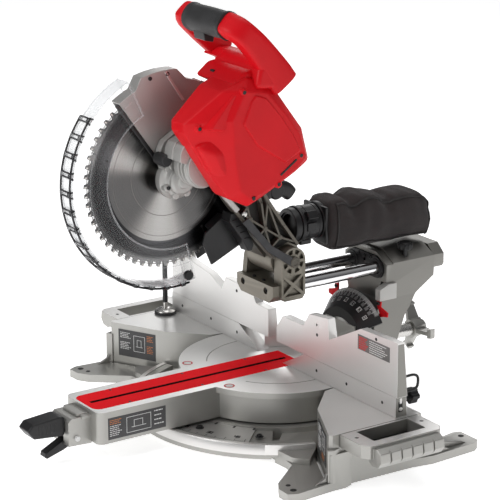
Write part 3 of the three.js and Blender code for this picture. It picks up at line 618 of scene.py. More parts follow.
def handle_shell():
    """D-handle: a swept right leg that turns into the crossbar, a capped left leg, and a base web."""
    loop = smooth_path([(138, -82, 606), (138, -106, 638), (138, -134, 672), (135, -156, 694),
                        (119, -165, 702), (90, -165, 702), (50, -165, 702), (4, -165, 702)], 6)
    sizes = []
    for p in loop:
        bar = min(1.0, max(0.0, (118 - p.x) / 20))
        foot = min(1.0, max(0.0, (690 - p.z) / 70)) * (1 - bar)
        sizes.append((20 - 2.5 * bar + 6 * foot, 16 + 2 * bar + 0.5 * foot))
    left = [(-2.3, -98, 638), (-2.3, -120, 655), (-2.3, -140, 674), (-2.3, -156, 692), (-2.3, -165, 702),
            (-2.3, -171, 709), (-2.3, -176, 715)]
    left_sizes = [(18, 12.2), (19, 12.2), (20, 12.4), (22, 12.5), (22.5, 12.5), (20.5, 12), (15, 10.5)]
    web = extruded("x", [(-140, 606), (-134, 634), (-120, 648), (-98, 648), (-80, 638), (-72, 614),
                         (-86, 600)], 19.5, 153)
    left_web = extruded("x", [(-133, 637), (-120, 648), (-98, 648), (-80, 638), (-72, 614), (-83, 608),
                              (-97, 616), (-113, 628)], -13, 30)
    neck = extruded("x", [(-172, 612), (-146, 632), (-96, 634), (-78, 612), (-84, 598), (-140, 596)], 20, 134)
    shell = piece("handle_shell", "head", [(swept(loop, sizes, 24, 3.6), "red_plastic"),
                                           (swept(left, left_sizes, 20, 3.2), "red_plastic")], bevel=2.5,
                  segments=3, sharp=55)
    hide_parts("handle_frame")
    piece("handle_web", "head", [(web, "red_plastic"), (neck, "red_plastic")], bevel=8, segments=5)
    piece("handle_left_web", "head", [(left_web, "red_plastic")], bevel=2.5, segments=4)
    piece("handle_fittings", "head", [
        # painted shade: the two thin dark slabs stand for openings in the handle
        (slab(92, 99, -112, -105, 640, 648.4), "dark_ink_and_shade"),
        (slab(52, 62, -161, -155, 606, 623.6), "dark_ink_and_shade"),
        (socket("x", *CROSSBAR, -14.6, 5.5, -1), "dark_steel"),
    ], bevel=0.5)


def grip_sleeve():
    """Rubber sleeve with a raised rim at each end and a swollen palm."""
    path, sizes = [], []
    start, length, steps = 10.8, 103.4, 26
    for i in range(steps + 1):
        t = i / steps
        lip = 1.6 if t < 0.04 or t > 0.96 else 0
        swell = 0.9 * math.sin(math.pi * t)
        path.append((start + length * t, *CROSSBAR))
        sizes.append((20.4 + lip + swell, 21.0 + lip + swell))
    sleeve = piece("grip_sleeve", "head", [(swept(path, sizes, 32, 2.3), "rubber")], bevel=0.5, sharp=50)
    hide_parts("handle_grip")


# The housing in (y, z): its shoulder, and the smaller flat face that stands out of it
MOTOR_OUTLINE = [(-243, 555), (-190, 605), (-147, 624), (-101, 605), (-74, 566), (-44, 529), (-31, 476),
                 (-58, 459), (-100, 438), (-149, 416), (-182, 433), (-215, 483), (-243, 540)]
FACE_OUTLINE = [(-158, 604), (-118, 597), (-82, 557), (-55, 520), (-43, 484), (-62, 466), (-102, 446),
                (-146, 428), (-168, 446), (-178, 500), (-182, 560)]


def hull(points):
    """The convex skin of a set of points, with its flat facets left whole."""
    bm = bmesh.new()
    for p in points:
        bm.verts.new(p)
    bmesh.ops.convex_hull(bm, input=bm.verts)
    bmesh.ops.dissolve_limit(bm, angle_limit=math.radians(2), verts=bm.verts, edges=bm.edges)
    loose = [v for v in bm.verts if not v.link_faces]
    bmesh.ops.delete(bm, geom=loose, context="VERTS")
    bm.verts.index_update()
    verts = [tuple(v.co) for v in bm.verts]
    faces = [tuple(v.index for v in f.verts) for f in bm.faces]
    bm.free()
    return verts, faces


def motor_shell():
    """Faceted moulded housing: a barrel whose front slopes away, a raised side panel and a motor bulge."""
    points = []
    for y, z in MOTOR_OUTLINE:
        shoulder = 138 - max(0.0, -175 - y) * 0.52
        inner = 88 if y < -140 and z < 500 else 62.2
        points += [(inner, y * 0.98 - 2.8, z * 0.98 + 10.4), (inner + 6, y, z), (shoulder, y, z)]
    points += [(149.5, y, z) for y, z in FACE_OUTLINE]
    shell = piece("motor_shell", "head", [(hull(points), "red_plastic")], bevel=5, segments=4, sharp=12)
    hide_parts("motor_housing")
    panel = [(-150, 590), (-141, 599), (-121, 592), (-90, 556), (-66, 522), (-52, 494), (-83, 478),
             (-138, 514), (-166, 554)]
    brow = [(-178, 600), (-158, 612), (-150, 606), (-196, 540), (-224, 546)]
    piece("motor_panel", "head", [(extruded("x", panel, 140, 152, 0.05), "red_plastic"),
                                  (extruded("x", brow, 110, 143, 0.12), "red_plastic")], bevel=2.4,
          segments=4, sharp=20)
    foot = [(-232, 520), (-204, 536), (-172, 516), (-154, 470), (-170, 438), (-206, 472)]
    top = [(-206, 508), (-184, 508), (-168, 478), (-172, 456), (-194, 480)]
    swell = hull([(112, y, z) for y, z in foot] + [(125, y * 0.96 - 7.5, z * 0.96 + 19.6) for y, z in foot] +
                 [(138.5, y, z) for y, z in top])
    piece("motor_bulge", "head", [(swell, "red_plastic")], bevel=5, segments=5, sharp=10)
    holes = [(-160, 603, 148), (-224, 548, 119), (-53, 488, 149), (-96, 447, 149), (-144, 431, 148.5)]
    bosses = [(lathed("x", y, z, [(0, x + 1), (4.6, x + 1), (6.4, x - 0.6), (7, x - 12), (0, x - 12)], 20),
               "red_plastic") for y, z, x in holes]
    # painted shade: dark discs sit in the screw holes, where the recesses lie in shade
    dark = [(lathed("x", y, z, disc(3.3, x + 1.4, x), 16), "dark_ink_and_shade") for y, z, x in holes]
    # painted shade: a dark slab along the slot line
    a, b = Vector((-62, 483)), Vector((-93, 461.5))
    along = (b - a).normalized() * 1.6
    across = Vector((-along.y, along.x))
    slot = [tuple(a - across), tuple(a + across), tuple(b + across), tuple(b - across)]
    piece("motor_fittings", "head", bosses + dark + [(extruded("x", slot, 146, 150.6), "dark_ink_and_shade")],
          bevel=0.4, sharp=50)
    # painted shade: dark slabs where the vent openings are
    piece("motor_vents", "head", [(extruded("x", [(-36, 500), (-31.5, 478), (-56, 461), (-62, 468)],
                                            76 + 8 * i, 79.5 + 8 * i), "dark_ink_and_shade") for i in range(6)],
          bevel=0.4)


def gear_shell():
    """Cast gear case: a stepped block with fins over the shaft, and the arbor nose with its flats."""
    outline = [(-243, 480), (-241, 496), (-234, 511), (-211, 525), (-180, 514), (-158, 476), (-160, 446),
               (-192, 436), (-226, 448)]
    neck = [(-236, 486), (-228, 500), (-206, 512), (-176, 500), (-166, 470), (-178, 446), (-214, 444)]
    drum = [(0, 20), (31, 20), (34, 23), (34, 30), (28, 31), (28, 36), (33, 37), (33, 41), (28, 42), (28, 46),
            (34, 47), (35.5, 50), (35.5, 62), (31, 63), (31, 67), (35.5, 68), (35.5, 72), (31, 73), (31, 77),
            (35.5, 78), (35.5, 82), (32, 83), (32, 88), (0, 88)]
    block = [(-240, 490), (-238, 505), (-232, 516), (-210, 525), (-188, 516), (-176, 490), (-206, 474)]
    parts = [extruded("x", outline, 14, 26, 0.04), extruded("x", neck, 24, 40),
             lathed("x", -194, 476, drum, 40), extruded("x", block, 38, 61.4),
             extruded("x", [(y * 0.97 - 6, z * 0.97 + 14) for y, z in block], 60, 84)]
    fin = [(-238, 484), (-231, 502), (-208, 516), (-176, 504), (-163, 470), (-178, 441), (-216, 441)]
    parts += [extruded("x", fin, x - 1.1, x + 1.1) for x in (36, 41)]
    nose = [(0, 17.2), (31, 17.2), (33, 20), (33, 32), (29, 36), (27, 41), (22, 44), (22, 50), (18, 53.5),
            (11, 54), (10, 57), (6, 58), (0, 58)]
    parts.append(lathed("x", BLADE_Y, BLADE_Z, nose, 44))
    bosses = [around(BLADE_Y, BLADE_Z, 25, 200 + 50 * i) for i in range(3)]
    parts += [lathed("x", *boss, [(0, 20), (7, 20), (7, 42), (5.6, 44), (0, 44)], 20) for boss in bosses]
    parts.append(extruded("x", [(-232, 452), (-240, 470), (-228, 484), (-206, 470)], 18, 40))
    case = piece("gear_shell", "head", painted(parts, "cast_silver"), bevel=1.3, segments=3)
    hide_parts("gear_case")
    heads = [(-226, 506, 61.2, 3.6), (-178, 504, 61.2, 3.6), (*bosses[0], 44, 3.2)]
    piece("gear_screws", "head", painted([screw("x", *h) for h in heads], "dark_steel"))
    piece("bumper_cap", "head", [(lathed("x", -240, 484.5, [(0, 20), (10.2, 20), (10.2, 46), (8.6, 48.5),
                                                            (0, 48.5)], 28), "rubber")], bevel=0.6)


def upper_guard_trim():
    """Rolled edges on the fixed guard, the dark bar on its straight edge, a bright strip and its screws."""
    crest = [(0, *on_blade(160.5, phi)) for phi in range(112, 200, 4)]
    piece("guard_lip", "head", [
        (swept([(side * 12.5, y, z) for _, y, z in crest], (1.5, 1.5), 10), "steel") for side in (-1, 1)
    ] + [(swept([(12.8, -219.5, 619.5), (12.8, -204, 596), (12.8, -187, 570)], (2.4, 1.2), 12, 3.5),
          "machined_bright")])
    piece("guard_edge_bar", "head", [(swept([(12.7, -310, 577), (12.7, -278, 533), (12.7, -244, 487)],
                                            (3.4, 1.3), 12, 3.5), "black")], bevel=0.4)
    piece("guard_screws", "head", [(screw("x", *on_blade(168, phi), 12.5, 3.4, 1, 1.5), "dark_steel")
                                   for phi in (78, 89)])
    piece("guard_far_screws", "head", [(screw("x", *on_blade(r, phi), -12.5, 3.4, -1, 1.5), "dark_steel")
                                       for r, phi in ((150, 60), (150, 120), (60, 70), (60, 150))])


# ---------------------------------------------------------------- clear guard

def guard_arc(radius, start, end, x, step=3):
    count = max(2, int(abs(end - start) / step))
    return [(x, *on_blade(radius, start + (end - start) * i / count)) for i in range(count + 1)]


def clear_guard_detail():
    """A dark-edged ladder round the rim's outer face, whiter rolled edges whose brightness is a painted
    highlight, and stiffened ends.
    """
    ladder = []
    for x in (-14.5, 14.5):
        ladder.append((swept(guard_arc(185.2, 38, -100, x), (1.9, 1.6), 8), "clear_rib"))
    for i in range(15):
        phi = 36 - i * 9.5
        for lean in (0, 2.2):
            ladder.append((swept([(x, *on_blade(184.6, phi + lean)) for x in (-15, -8, 0, 8, 15)],
                                 (1.9, 1.5), 8), "clear_rib"))
        block = [on_blade(r, phi + d) for r, d in ((181.2, -0.6), (186.4, 0.2), (186.4, 2.0), (181.2, 2.8))]
        ladder.append((extruded("x", block, 10.5, 16.9), "clear_edge"))
        ladder.append((extruded("x", block, -16.9, -10.5), "clear_edge"))
        for x in (10.5, 16.9):
            ladder.append((swept([(x, *p) for p in block], (1.5, 1.5), 6), "clear_rib"))
    piece("guard_ladder", "guard", ladder)
    # rolled edges, end stiffeners and rim: real edges, drawn whitish as a painted highlight
    edges = []
    for x in (-16.6, 16.6):
        for radius, size, sides in ((180.6, (1.6, 1.2), 8), (119.0, (1.4, 0.9), 8), (150.0, (0.5, 0.5), 6)):
            edges.append(swept(guard_arc(radius, 65, -103, x), size, sides))
    for phi in (64.6, -102.6):
        for x in (-16.6, 16.6):
            end = [(x, *on_blade(radius, phi)) for radius in (119, 135, 150, 165, 180)]
            edges.append(swept(end, (1.4, 1.0), 8))
    rim = []
    for i in range(57):
        phi = 65 - i * 3
        rim.append([(x, *on_blade(r, phi)) for r, x in ((181.3, -16.5), (182.0, -16), (182.0, 16),
                                                        (181.3, 16.5))])
    edges.append(lofted(rim))
    piece("guard_edging", "guard", painted(edges, "clear_edge"))


# ---------------------------------------------------------------- blade

def blade_detail():
    """Carbide tips, expansion slots and printed rings on both faces."""
    tips, count = [], 60
    for i in range(count):
        phi = 360 * i / count
        pts = [on_blade(152.3, phi), on_blade(147.6, phi + 0.2), on_blade(147.8, phi + 1.1),
               on_blade(151.6, phi + 1.0)]
        tips.append((extruded("x", pts, -1.35, 1.35), "carbide"))
    piece("carbide_tips", "blade", tips)
    slots = []
    for i in range(5):
        phi = 72 * i + 20
        path = [(0, *on_blade(r, phi + (r - 120) * 0.10)) for r in (118, 124, 130, 136, 142, 147)]
        for side in (-1, 1):
            # painted shade: the expansion slots and their end holes are dark strips and discs
            slots.append((swept([(side * 1.0, y, z) for _, y, z in path], (0.55, 0.25), 8), "dark_ink_and_shade"))
        slots.append((lathed("x", *on_blade(116, phi - 0.4), disc(2.4, -1.3, 1.3), 14), "dark_ink_and_shade"))
    piece("blade_slots", "blade", slots)
    rings = []
    for side in (-1, 1):
        for r0, r1 in ((66, 67), (100, 100.6), (146.2, 147)):
            profile = hoop(r0, r1, side * 1.05, side * 1.2)
            rings.append((lathed("x", BLADE.y / MM, BLADE.z / MM, profile, 96), "blade_print"))
    piece("blade_rings", "blade", rings)


# ---------------------------------------------------------------- dust collection

BAG_SIDES = 48      # points round one cross-section
BAG_MOUTH, BAG_END = 100, 301   # y of the piping's two ends
BAG_TOP = [(82, 346), (86, 358), (94, 367), (106, 371), (118, 371), (127, 365), (136, 362), (150, 368),
           (168, 373), (184, 370), (198, 363), (210, 359), (224, 361), (250, 362), (270, 360), (286, 355),
           (297, 347), (303, 340)]


def bag_top(y):
    for (y0, z0), (y1, z1) in zip(BAG_TOP, BAG_TOP[1:]):
        if y <= y1:
            t = max(0.0, (y - y0) / (y1 - y0))
            t = t * t * (3 - 2 * t)
            return z0 + (z1 - z0) * t
    return BAG_TOP[-1][1]


def bag_ring(y, shrink=0.0):
    """One cross-section: flat sides that lean in to a gathered top, and a boat-shaped bottom."""
    ends = min(1.0, (y - 80) / 12, (306 - y) / 5)
    half = (46 + 2.5 * math.sin(math.pi * (y - 90) / 212)) * (0.90 + 0.10 * max(0, ends)) - shrink
    low = 267.5 - 2.5 * min(1, max(0, (y - 100) / 160)) + 20 * max(0, (100 - y) / 18) + shrink
    high = bag_top(y) - 2 - shrink
    mid, tall = (low + high) / 2, (high - low) / 2
    ring = []
    for s in range(BAG_SIDES):
        t = 2 * math.pi * s / BAG_SIDES
        c, d = math.cos(t), math.sin(t)
        power = 6.0 if d > 0 else 5.0
        u = math.copysign(abs(c) ** (2 / power), c)
        v = math.copysign(abs(d) ** (2 / power), d)
        lean = 1 - 0.12 * max(0, v) - 0.26 * max(0, -v) ** 2
        ring.append(Vector((u * half * lean, y, mid + v * tall)))
    return ring


CLOTH_FRAMES = 20


def simulate(obj, voxel, cap):
    """Voxel remesh, a short pressure run, and each point held within cap of where it began."""
    scene = bpy.context.scene
    remesh = obj.modifiers.new("remesh", "REMESH")
    remesh.mode = "VOXEL"
    remesh.voxel_size = voxel * MM
    graph = bpy.context.evaluated_depsgraph_get()
    mesh = bpy.data.meshes.new_from_object(obj.evaluated_get(graph))
    obj.modifiers.clear()
    obj.data = mesh
    start = [v.co.copy() for v in mesh.vertices]
    cloth = obj.modifiers.new("cloth", "CLOTH")
    cloth.settings.quality = 5
    cloth.settings.mass = 0.25
    cloth.settings.tension_stiffness = 12
    cloth.settings.compression_stiffness = 4
    cloth.settings.bending_stiffness = 0.3
    cloth.settings.use_pressure = True
    cloth.settings.uniform_pressure_force = 4
    cloth.settings.effector_weights.gravity = 0
    cloth.point_cache.frame_start = 1
    cloth.point_cache.frame_end = CLOTH_FRAMES
    for frame_number in range(1, CLOTH_FRAMES + 1):
        scene.frame_set(frame_number)
    graph = bpy.context.evaluated_depsgraph_get()
    done = obj.evaluated_get(graph).to_mesh()
    moved = [v.co.copy() for v in done.vertices]
    obj.evaluated_get(graph).to_mesh_clear()
    obj.modifiers.clear()
    for vertex, a, b in zip(mesh.vertices, start, moved):
        step = b - a
        if step.length > cap * MM:
            step *= cap * MM / step.length
        vertex.co = a + step
    scene.frame_set(1)


def crumple(obj):
    """Long soft creases that run down from the gathers, deeper near the top and the mouth."""
    mesh = obj.data
    for vertex in mesh.vertices:
        p = vertex.co / MM
        high = max(0.0, min(1.0, (p.z - 290) / 70))
        fold = noise.noise(Vector((p.x * 0.015, p.y * 0.055, p.z * 0.012)))
        wide = noise.noise(Vector((p.x * 0.03 + 7, p.y * 0.022, p.z * 0.03)))
        side = noise.noise(Vector((p.y * 0.03 + p.z * 0.05, 3.3, p.x * 0.02)))
        amount = fold * (1.0 + 2.2 * high) + wide * 1.6 + side * 1.2
        vertex.co += vertex.normal * (amount - 1.2) * MM


def bag_edge_path(index):
    """One long edge of the bag, from its mouth to its end."""
    return [bag_ring(y)[index] for y in range(BAG_MOUTH, BAG_END, 4)]


def dust_bag():
    """The padded shell, piping laid on it along both side panels, and the collar at its mouth."""
    rings = [bag_ring(y, 3.0) for y in (84, 88, 93, 99, 105, 112, 120, 127, 134, 142, 151, 160, 169, 178,
                                        187, 196, 205, 214, 223, 232, 241, 250, 259, 268, 277, 286, 294,
                                        300)]
    bag = piece("bag_cloth", None, [(lofted(rings), "cloth")])
    simulate(bag, 4.6, 4)
    crumple(bag)
    bag.data.materials.clear()
    bag.data.materials.append(MAT["cloth"])
    bag.data.shade_smooth()
    fine = bag.modifiers.new("fine", "SUBSURF")
    fine.levels = fine.render_levels = 1
    bpy.context.view_layer.update()
    inverse = bag.matrix_world.inverted()
    pipes = []
    for side in (1, -1):
        top, bottom = (5, 43) if side == 1 else (19, 29)
        turn = range(top - 1, -1, -1) if side == 1 else range(top + 1, 25)
        loop = bag_edge_path(top) + [bag_ring(BAG_END)[i] for i in turn]
        back = bag_edge_path(bottom)[::-1]
        rise = range(44, 53) if side == 1 else range(28, 19, -1)
        front = [bag_ring(BAG_MOUTH)[i % BAG_SIDES] for i in rise]
        path = []
        for p in loop + back + front:
            hit, place, normal, _ = bag.closest_point_on_mesh(inverse @ (Vector(p) * MM))
            if hit:
                path.append((place + normal * 1.0 * MM) / MM)
        kept = [path[0]]
        for p in path[1:]:
            if (p - kept[-1]).length > 2.5:
                kept.append(p)
        pipes.append((swept(smooth_path(kept + [kept[0]], 2), (1.7, 1.7), 8), "piping"))
    piece("bag_piping", "carriage", pipes)
    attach(bag, "carriage")
    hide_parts("dust_bag")
    collar = [(0, 78), (31, 78), (33, 81), (33, 88), (30, 90), (0, 90)]
    piece("bag_collar", "carriage", [(lathed("y", *DUST_AXIS, collar, 40), "black"),
                                     (slab(-33, 33, 80, 86, 290, 354), "black")], bevel=1.5, segments=3)


def duct_shell():
    """Moulded elbow that carries dust from the arm back towards the tube."""
    path = smooth_path([(7, -44, 384), (7, -28, 392), (7, -8, 396), (7, 12, 392), (7, 24, 382)], 4)
    sizes = [(12.5 + 2 * math.sin(math.pi * i / (len(path) - 1)), 11) for i in range(len(path))]
    ring = lathed("x", -8, 393, [(0, -3.6), (13, -3.6), (15, -1), (15, 15), (13, 18.6), (0, 18.6)], 28)
    shell = piece("duct_shell", "head", [(swept(path, sizes, 20, 3), "black"), (ring, "black")], bevel=1.2,
                  segments=3)
    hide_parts("duct_elbow")


def adapter_detail():
    """Bayonet tabs, rings and the mouth of the dust adapter, with a dark disc inside it as painted shade."""
    bead = [(0, 36.5), (30.4, 36.5), (31.4, 38), (31.4, 42), (30.4, 43.5), (0, 43.5)]
    mouth = [(22.2, 24), (28.4, 24), (29.2, 27), (29.2, 36.4), (22.2, 36.4), (22.2, 24)]
    profiles = (bead, disc(30.8, 70, 76), disc(30.6, 50, 52), mouth)
    parts = painted([lathed("y", *DUST_AXIS, profile, 40) for profile in profiles], "black")
    # painted shade: a dark disc deep in the mouth
    parts.append((lathed("y", *DUST_AXIS, disc(22, 40, 42), 32), "dark_ink_and_shade"))
    for turn in (35, 155, 275):
        x, z = around(*DUST_AXIS, 31, turn)
        c, d = math.cos(math.radians(turn)), math.sin(math.radians(turn))
        tab = [(x - side * d + out * c, z + side * c + out * d)
               for side, out in ((9, -2), (7, 6), (-7, 6), (-9, -2))]
        parts.append((extruded("y", tab, 45, 66), "black"))
    piece("adapter_detail", "carriage", parts, bevel=1.0, segments=3)


# ---------------------------------------------------------------- printed plates

def plate(name, body, origin, across, up, width, height, bars, ground="plate_dark"):
    """A thin plate lying on a face, with bars of ink: (x, y, wide, high, material) in plate millimetres."""
    across, up = Vector(across).normalized(), Vector(up).normalized()
    out = across.cross(up)
    origin = Vector(origin)

    def tile(x, y, w, h, low, high):
        corners = [(x, y), (x + w, y), (x + w, y + h), (x, y + h)]
        return boxed(*([tuple(origin + across * a + up * b + out * lift) for a, b in corners]
                       for lift in (low, high)))
    parts = [(tile(0, 0, width, height, -0.3, 0.35), ground)]
    parts += [(tile(x, y, w, h, 0.2, 0.5), colour) for x, y, w, h, colour in bars]
    piece(name, body, parts, bevel=0.12, sharp=60)


def text_bars(x, top, width, rows, colour, gap=3.0, high=1.2):
    """Rows of broken ink bars standing in for small print, saying nothing."""
    bars = []
    for row in range(rows):
        at, end, step = 0.0, width * (0.72 + 0.28 * math.sin(row * 2.3 + 1) ** 2), 0
        while at < end - 1:
            long = min(end - at, 2.2 + 2.6 * abs(math.sin(row * 1.7 + step * 2.1)))
            bars.append((x + at, top - row * gap - high, long, high, colour))
            at += long + 0.9
            step += 1
    return bars


def pictogram(x, y, w, h):
    """A plain framed figure: a box with a bar across it and two posts."""
    line = 0.8
    strokes = [(0, 0, w, line), (0, h - line, w, line), (0, 0, line, h), (w - line, 0, line, h),
               (w * 0.2, h * 0.3, w * 0.6, line), (w * 0.3, h * 0.3, line, h * 0.45),
               (w * 0.65, h * 0.3, line, h * 0.45), (w * 0.3, h * 0.72, w * 0.36, line)]
    return [(x + dx, y + dy, wide, high, "white_ink") for dx, dy, wide, high in strokes]


UP = Vector((0, 0, 1))


def skirt_plate(name, corner, far_corner, inset, height, bars):
    """A plate standing on a side table's sloping front skirt."""
    a, b = Vector(corner), Vector(far_corner)
    along = (b - a).normalized()
    plate(name, "base", a + along * inset + along.cross(UP) * 0.1, along, UP, 78, height, bars)


def plates():
    arm_bars = (text_bars(3, 33, 24, 3, "orange_ink") + text_bars(3, 23, 22, 6, "white_ink", 3.2)
                + pictogram(34, 5, 46, 27) + text_bars(86, 33, 18, 4, "white_ink", 7.6, 1.8))
    plate("arm_plate", "table", (55.1, -363, 42), (0, 1, 0), UP, 108, 37, arm_bars)
    plate("arm_plate_left", "table", (-55.1, -253, 42), (0, -1, 0), UP, 108, 37, arm_bars)
    skirt_plate("left_skirt_plate", (-335.1, -130.6, 30), (-232.1, -78.6, 30), 16, 50,
                text_bars(4, 45, 22, 4, "white_ink") + text_bars(4, 27, 22, 5, "white_ink")
                + pictogram(32, 12, 24, 30) + text_bars(60, 45, 14, 4, "orange_ink")
                + text_bars(60, 26, 14, 5, "orange_ink"))
    skirt_plate("right_skirt_plate", (232.1, -78.6, 26), (335.1, -130.6, 26), 14, 54,
                text_bars(4, 49, 30, 5, "white_ink") + text_bars(4, 30, 30, 7, "white_ink")
                + pictogram(40, 18, 30, 30) + text_bars(40, 12, 26, 3, "orange_ink"))
    plate("fence_plate", "fence_right", (234, -0.1, 178), (1, 0, 0), UP, 84, 25,
          text_bars(3, 22, 24, 6, "red_ink", 3.6, 2.4) + text_bars(31, 22, 48, 6, "white_ink", 3.6, 1.4),
          ground="plate_light")


# ---------------------------------------------------------------- base, fence and table detail

def scale_mark(r0, r1, degrees, width, thick=0.25):
    """A radial tick lying on the miter scale."""
    ray, side = ray_and_side(degrees)
    low = [ray * r0 - side * width / 2, ray * r1 - side * width / 2, ray * r1 + side * width / 2,
           ray * r0 + side * width / 2]
    return boxed([(v.x, v.y, SCALE_TOP - 0.1) for v in low], [(v.x, v.y, SCALE_TOP + thick) for v in low])


STROKES = {"0": "abcdef", "1": "bc", "2": "abged", "3": "abgcd", "4": "fgbc", "5": "afgcd"}
SEGMENTS = {"a": (0, 2, 1, 2), "b": (1, 1, 1, 2), "c": (1, 0, 1, 1), "d": (0, 0, 1, 0), "e": (0, 0, 0, 1),
            "f": (0, 1, 0, 2), "g": (0, 1, 1, 1)}


def digits(text, size):
    """Bars of a plain stick numeral, centred on the origin: (x0, y0, x1, y1) boxes."""
    bars, pitch, line = [], size * 0.72, size * 0.13
    left = -((len(text) - 1) * pitch + size * 0.5) / 2
    for index, digit in enumerate(text):
        for key in STROKES[digit]:
            x0, y0, x1, y1 = SEGMENTS[key]
            bars.append((left + index * pitch + x0 * size * 0.5 - line, (y0 - 1) * size * 0.5 - line,
                         left + index * pitch + x1 * size * 0.5 + line, (y1 - 1) * size * 0.5 + line))
    return bars


def box_on(surface, x0, y0, x1, y1, low, high):
    """A thin box whose corners are laid on surface(x, y, height)."""
    corners = [(x0, y0), (x1, y0), (x1, y1), (x0, y1)]
    return boxed(*([tuple(surface(x, y, lift)) for x, y in corners] for lift in (low, high)))


def miter_marks():
    """Degree ticks and numbers on the miter scale, its bolts and the detent notches."""
    parts = []
    for degree in range(-50, 51):
        long = 12 if degree % 10 == 0 else 9 if degree % 5 == 0 else 5
        width = 0.5 if degree % 5 else 0.8
        parts.append(scale_mark(236 - long, 237, -90 + degree * SCALE_RATIO, width))
    for degree in range(-45, 46, 15):
        ray, side = ray_and_side(-90 + degree * SCALE_RATIO)

        def surface(x, y, height, ray=ray, side=side):
            return ray * (216 - y) + side * x + Vector((0, 0, SCALE_TOP + height))
        parts += [box_on(surface, *bar, -0.1, 0.25) for bar in digits(str(abs(degree)), 7)]
    piece("miter_marks", "base", painted(parts, "dark_ink_and_shade"))
    bolt = [(0, 31), (7, 31), (7, 32), (4.6, 32.4), (4.6, 35.3), (2.4, 35.3), (2.1, 33.4), (0, 33.4)]
    bolts = [lathed("z", *around(0, 0, 209, degrees), bolt, 20) for degrees in (-41.7, -71.0, -109.0, -138.3)]
    piece("miter_bolts", "base", painted(bolts, "dark_steel"), bevel=0.3)
    # painted shade: the detent notches are dark slabs where the recesses lie in shade
    notches = [scale_mark(173.5, 181, degrees, 3.6, 0.3) for degrees in range(-134, -45, 11)]
    piece("detent_notches", "base", painted(notches, "dark_ink_and_shade"))


def ring_band():
    """Machined band round the front of the base ring."""
    start, end, steps = math.radians(218), math.radians(322), 64
    rings = []
    for s in range(steps + 1):
        t = start + (end - start) * s / steps
        rings.append([(r * math.cos(t), r * math.sin(t), z) for r, z in ((247.2, 14.5), (248.6, 15.5),
                                                                         (248.6, 31.5),
                                                                        (247.4, 33.2), (240.6, 33.2),
                                                                         (240.6, 32.0),
                                                                        (246, 31.0), (246, 15.5))])
    piece("ring_band", "base", [(lofted(rings), "machined_bright")], sharp=40)
    tails = []
    for start in (321.5, 199.5):
        turns = [math.radians(start + t / 2) for t in range(39)]

        def strip(inner, outer, turns=turns):
            return ([(outer * math.cos(t), outer * math.sin(t)) for t in turns]
                    + [(inner * math.cos(t), inner * math.sin(t)) for t in reversed(turns)])
        tails.append((extruded("z", strip(226, 248.4), 12, 31.8), "casting"))
        tails.append((extruded("z", strip(240.6, 248.6), 15.5, 33.1), "machined_bright"))
    piece("ring_tails", "base", tails, bevel=0.5, sharp=40)


def kerf_detail():
    """Screws in the red plate, and painted shadow in the cut: dark linings on the slot's walls and ends and a
    dark strip on the hollow's floor.
    """
    spots = [(x, y) for y in (-308, -169, -42) for x in (-32, 32)]
    head = [(0, 88.7), (2.9, 88.7), (2.9, 89.6), (2.4, 89.9), (1.1, 89.9), (0.9, 89.2), (0, 89.2)]
    piece("kerf_screws", "table", painted([lathed("z", x, y, head, 14) for x, y in spots], "dark_steel"))
    # painted shadow: dark sheets where the cut's walls and floor lie in shade
    lining = [slab(side * 3.9 - 0.25, side * 3.9 + 0.25, -363.7, 19.7, 86.1, 89.7) for side in (-1, 1)]
    lining.append(slab(-24.6, 24.6, -369.6, 25.6, 60.2, 61.2))
    lining += [slab(-3.7, 3.7, y - 0.25, y + 0.25, 86.1, 89.7) for y in (-363.7, 19.7)]
    piece("kerf_shadow", "table", painted(lining, "dark_ink_and_shade"))


def table_dots():
    """Plain ring marks set in the table beside the cut, where hands stay clear."""
    parts = []
    for x, y in ((-70, -134), (63, -136)):
        parts.append((lathed("z", x, y, disc(9.5, 89.9, 90.25), 32), "white_ink"))
        parts.append((lathed("z", x, y, hoop(6.6, 9.0, 90.1, 90.5), 32), "red_ink"))
    piece("table_marks", "table", parts)


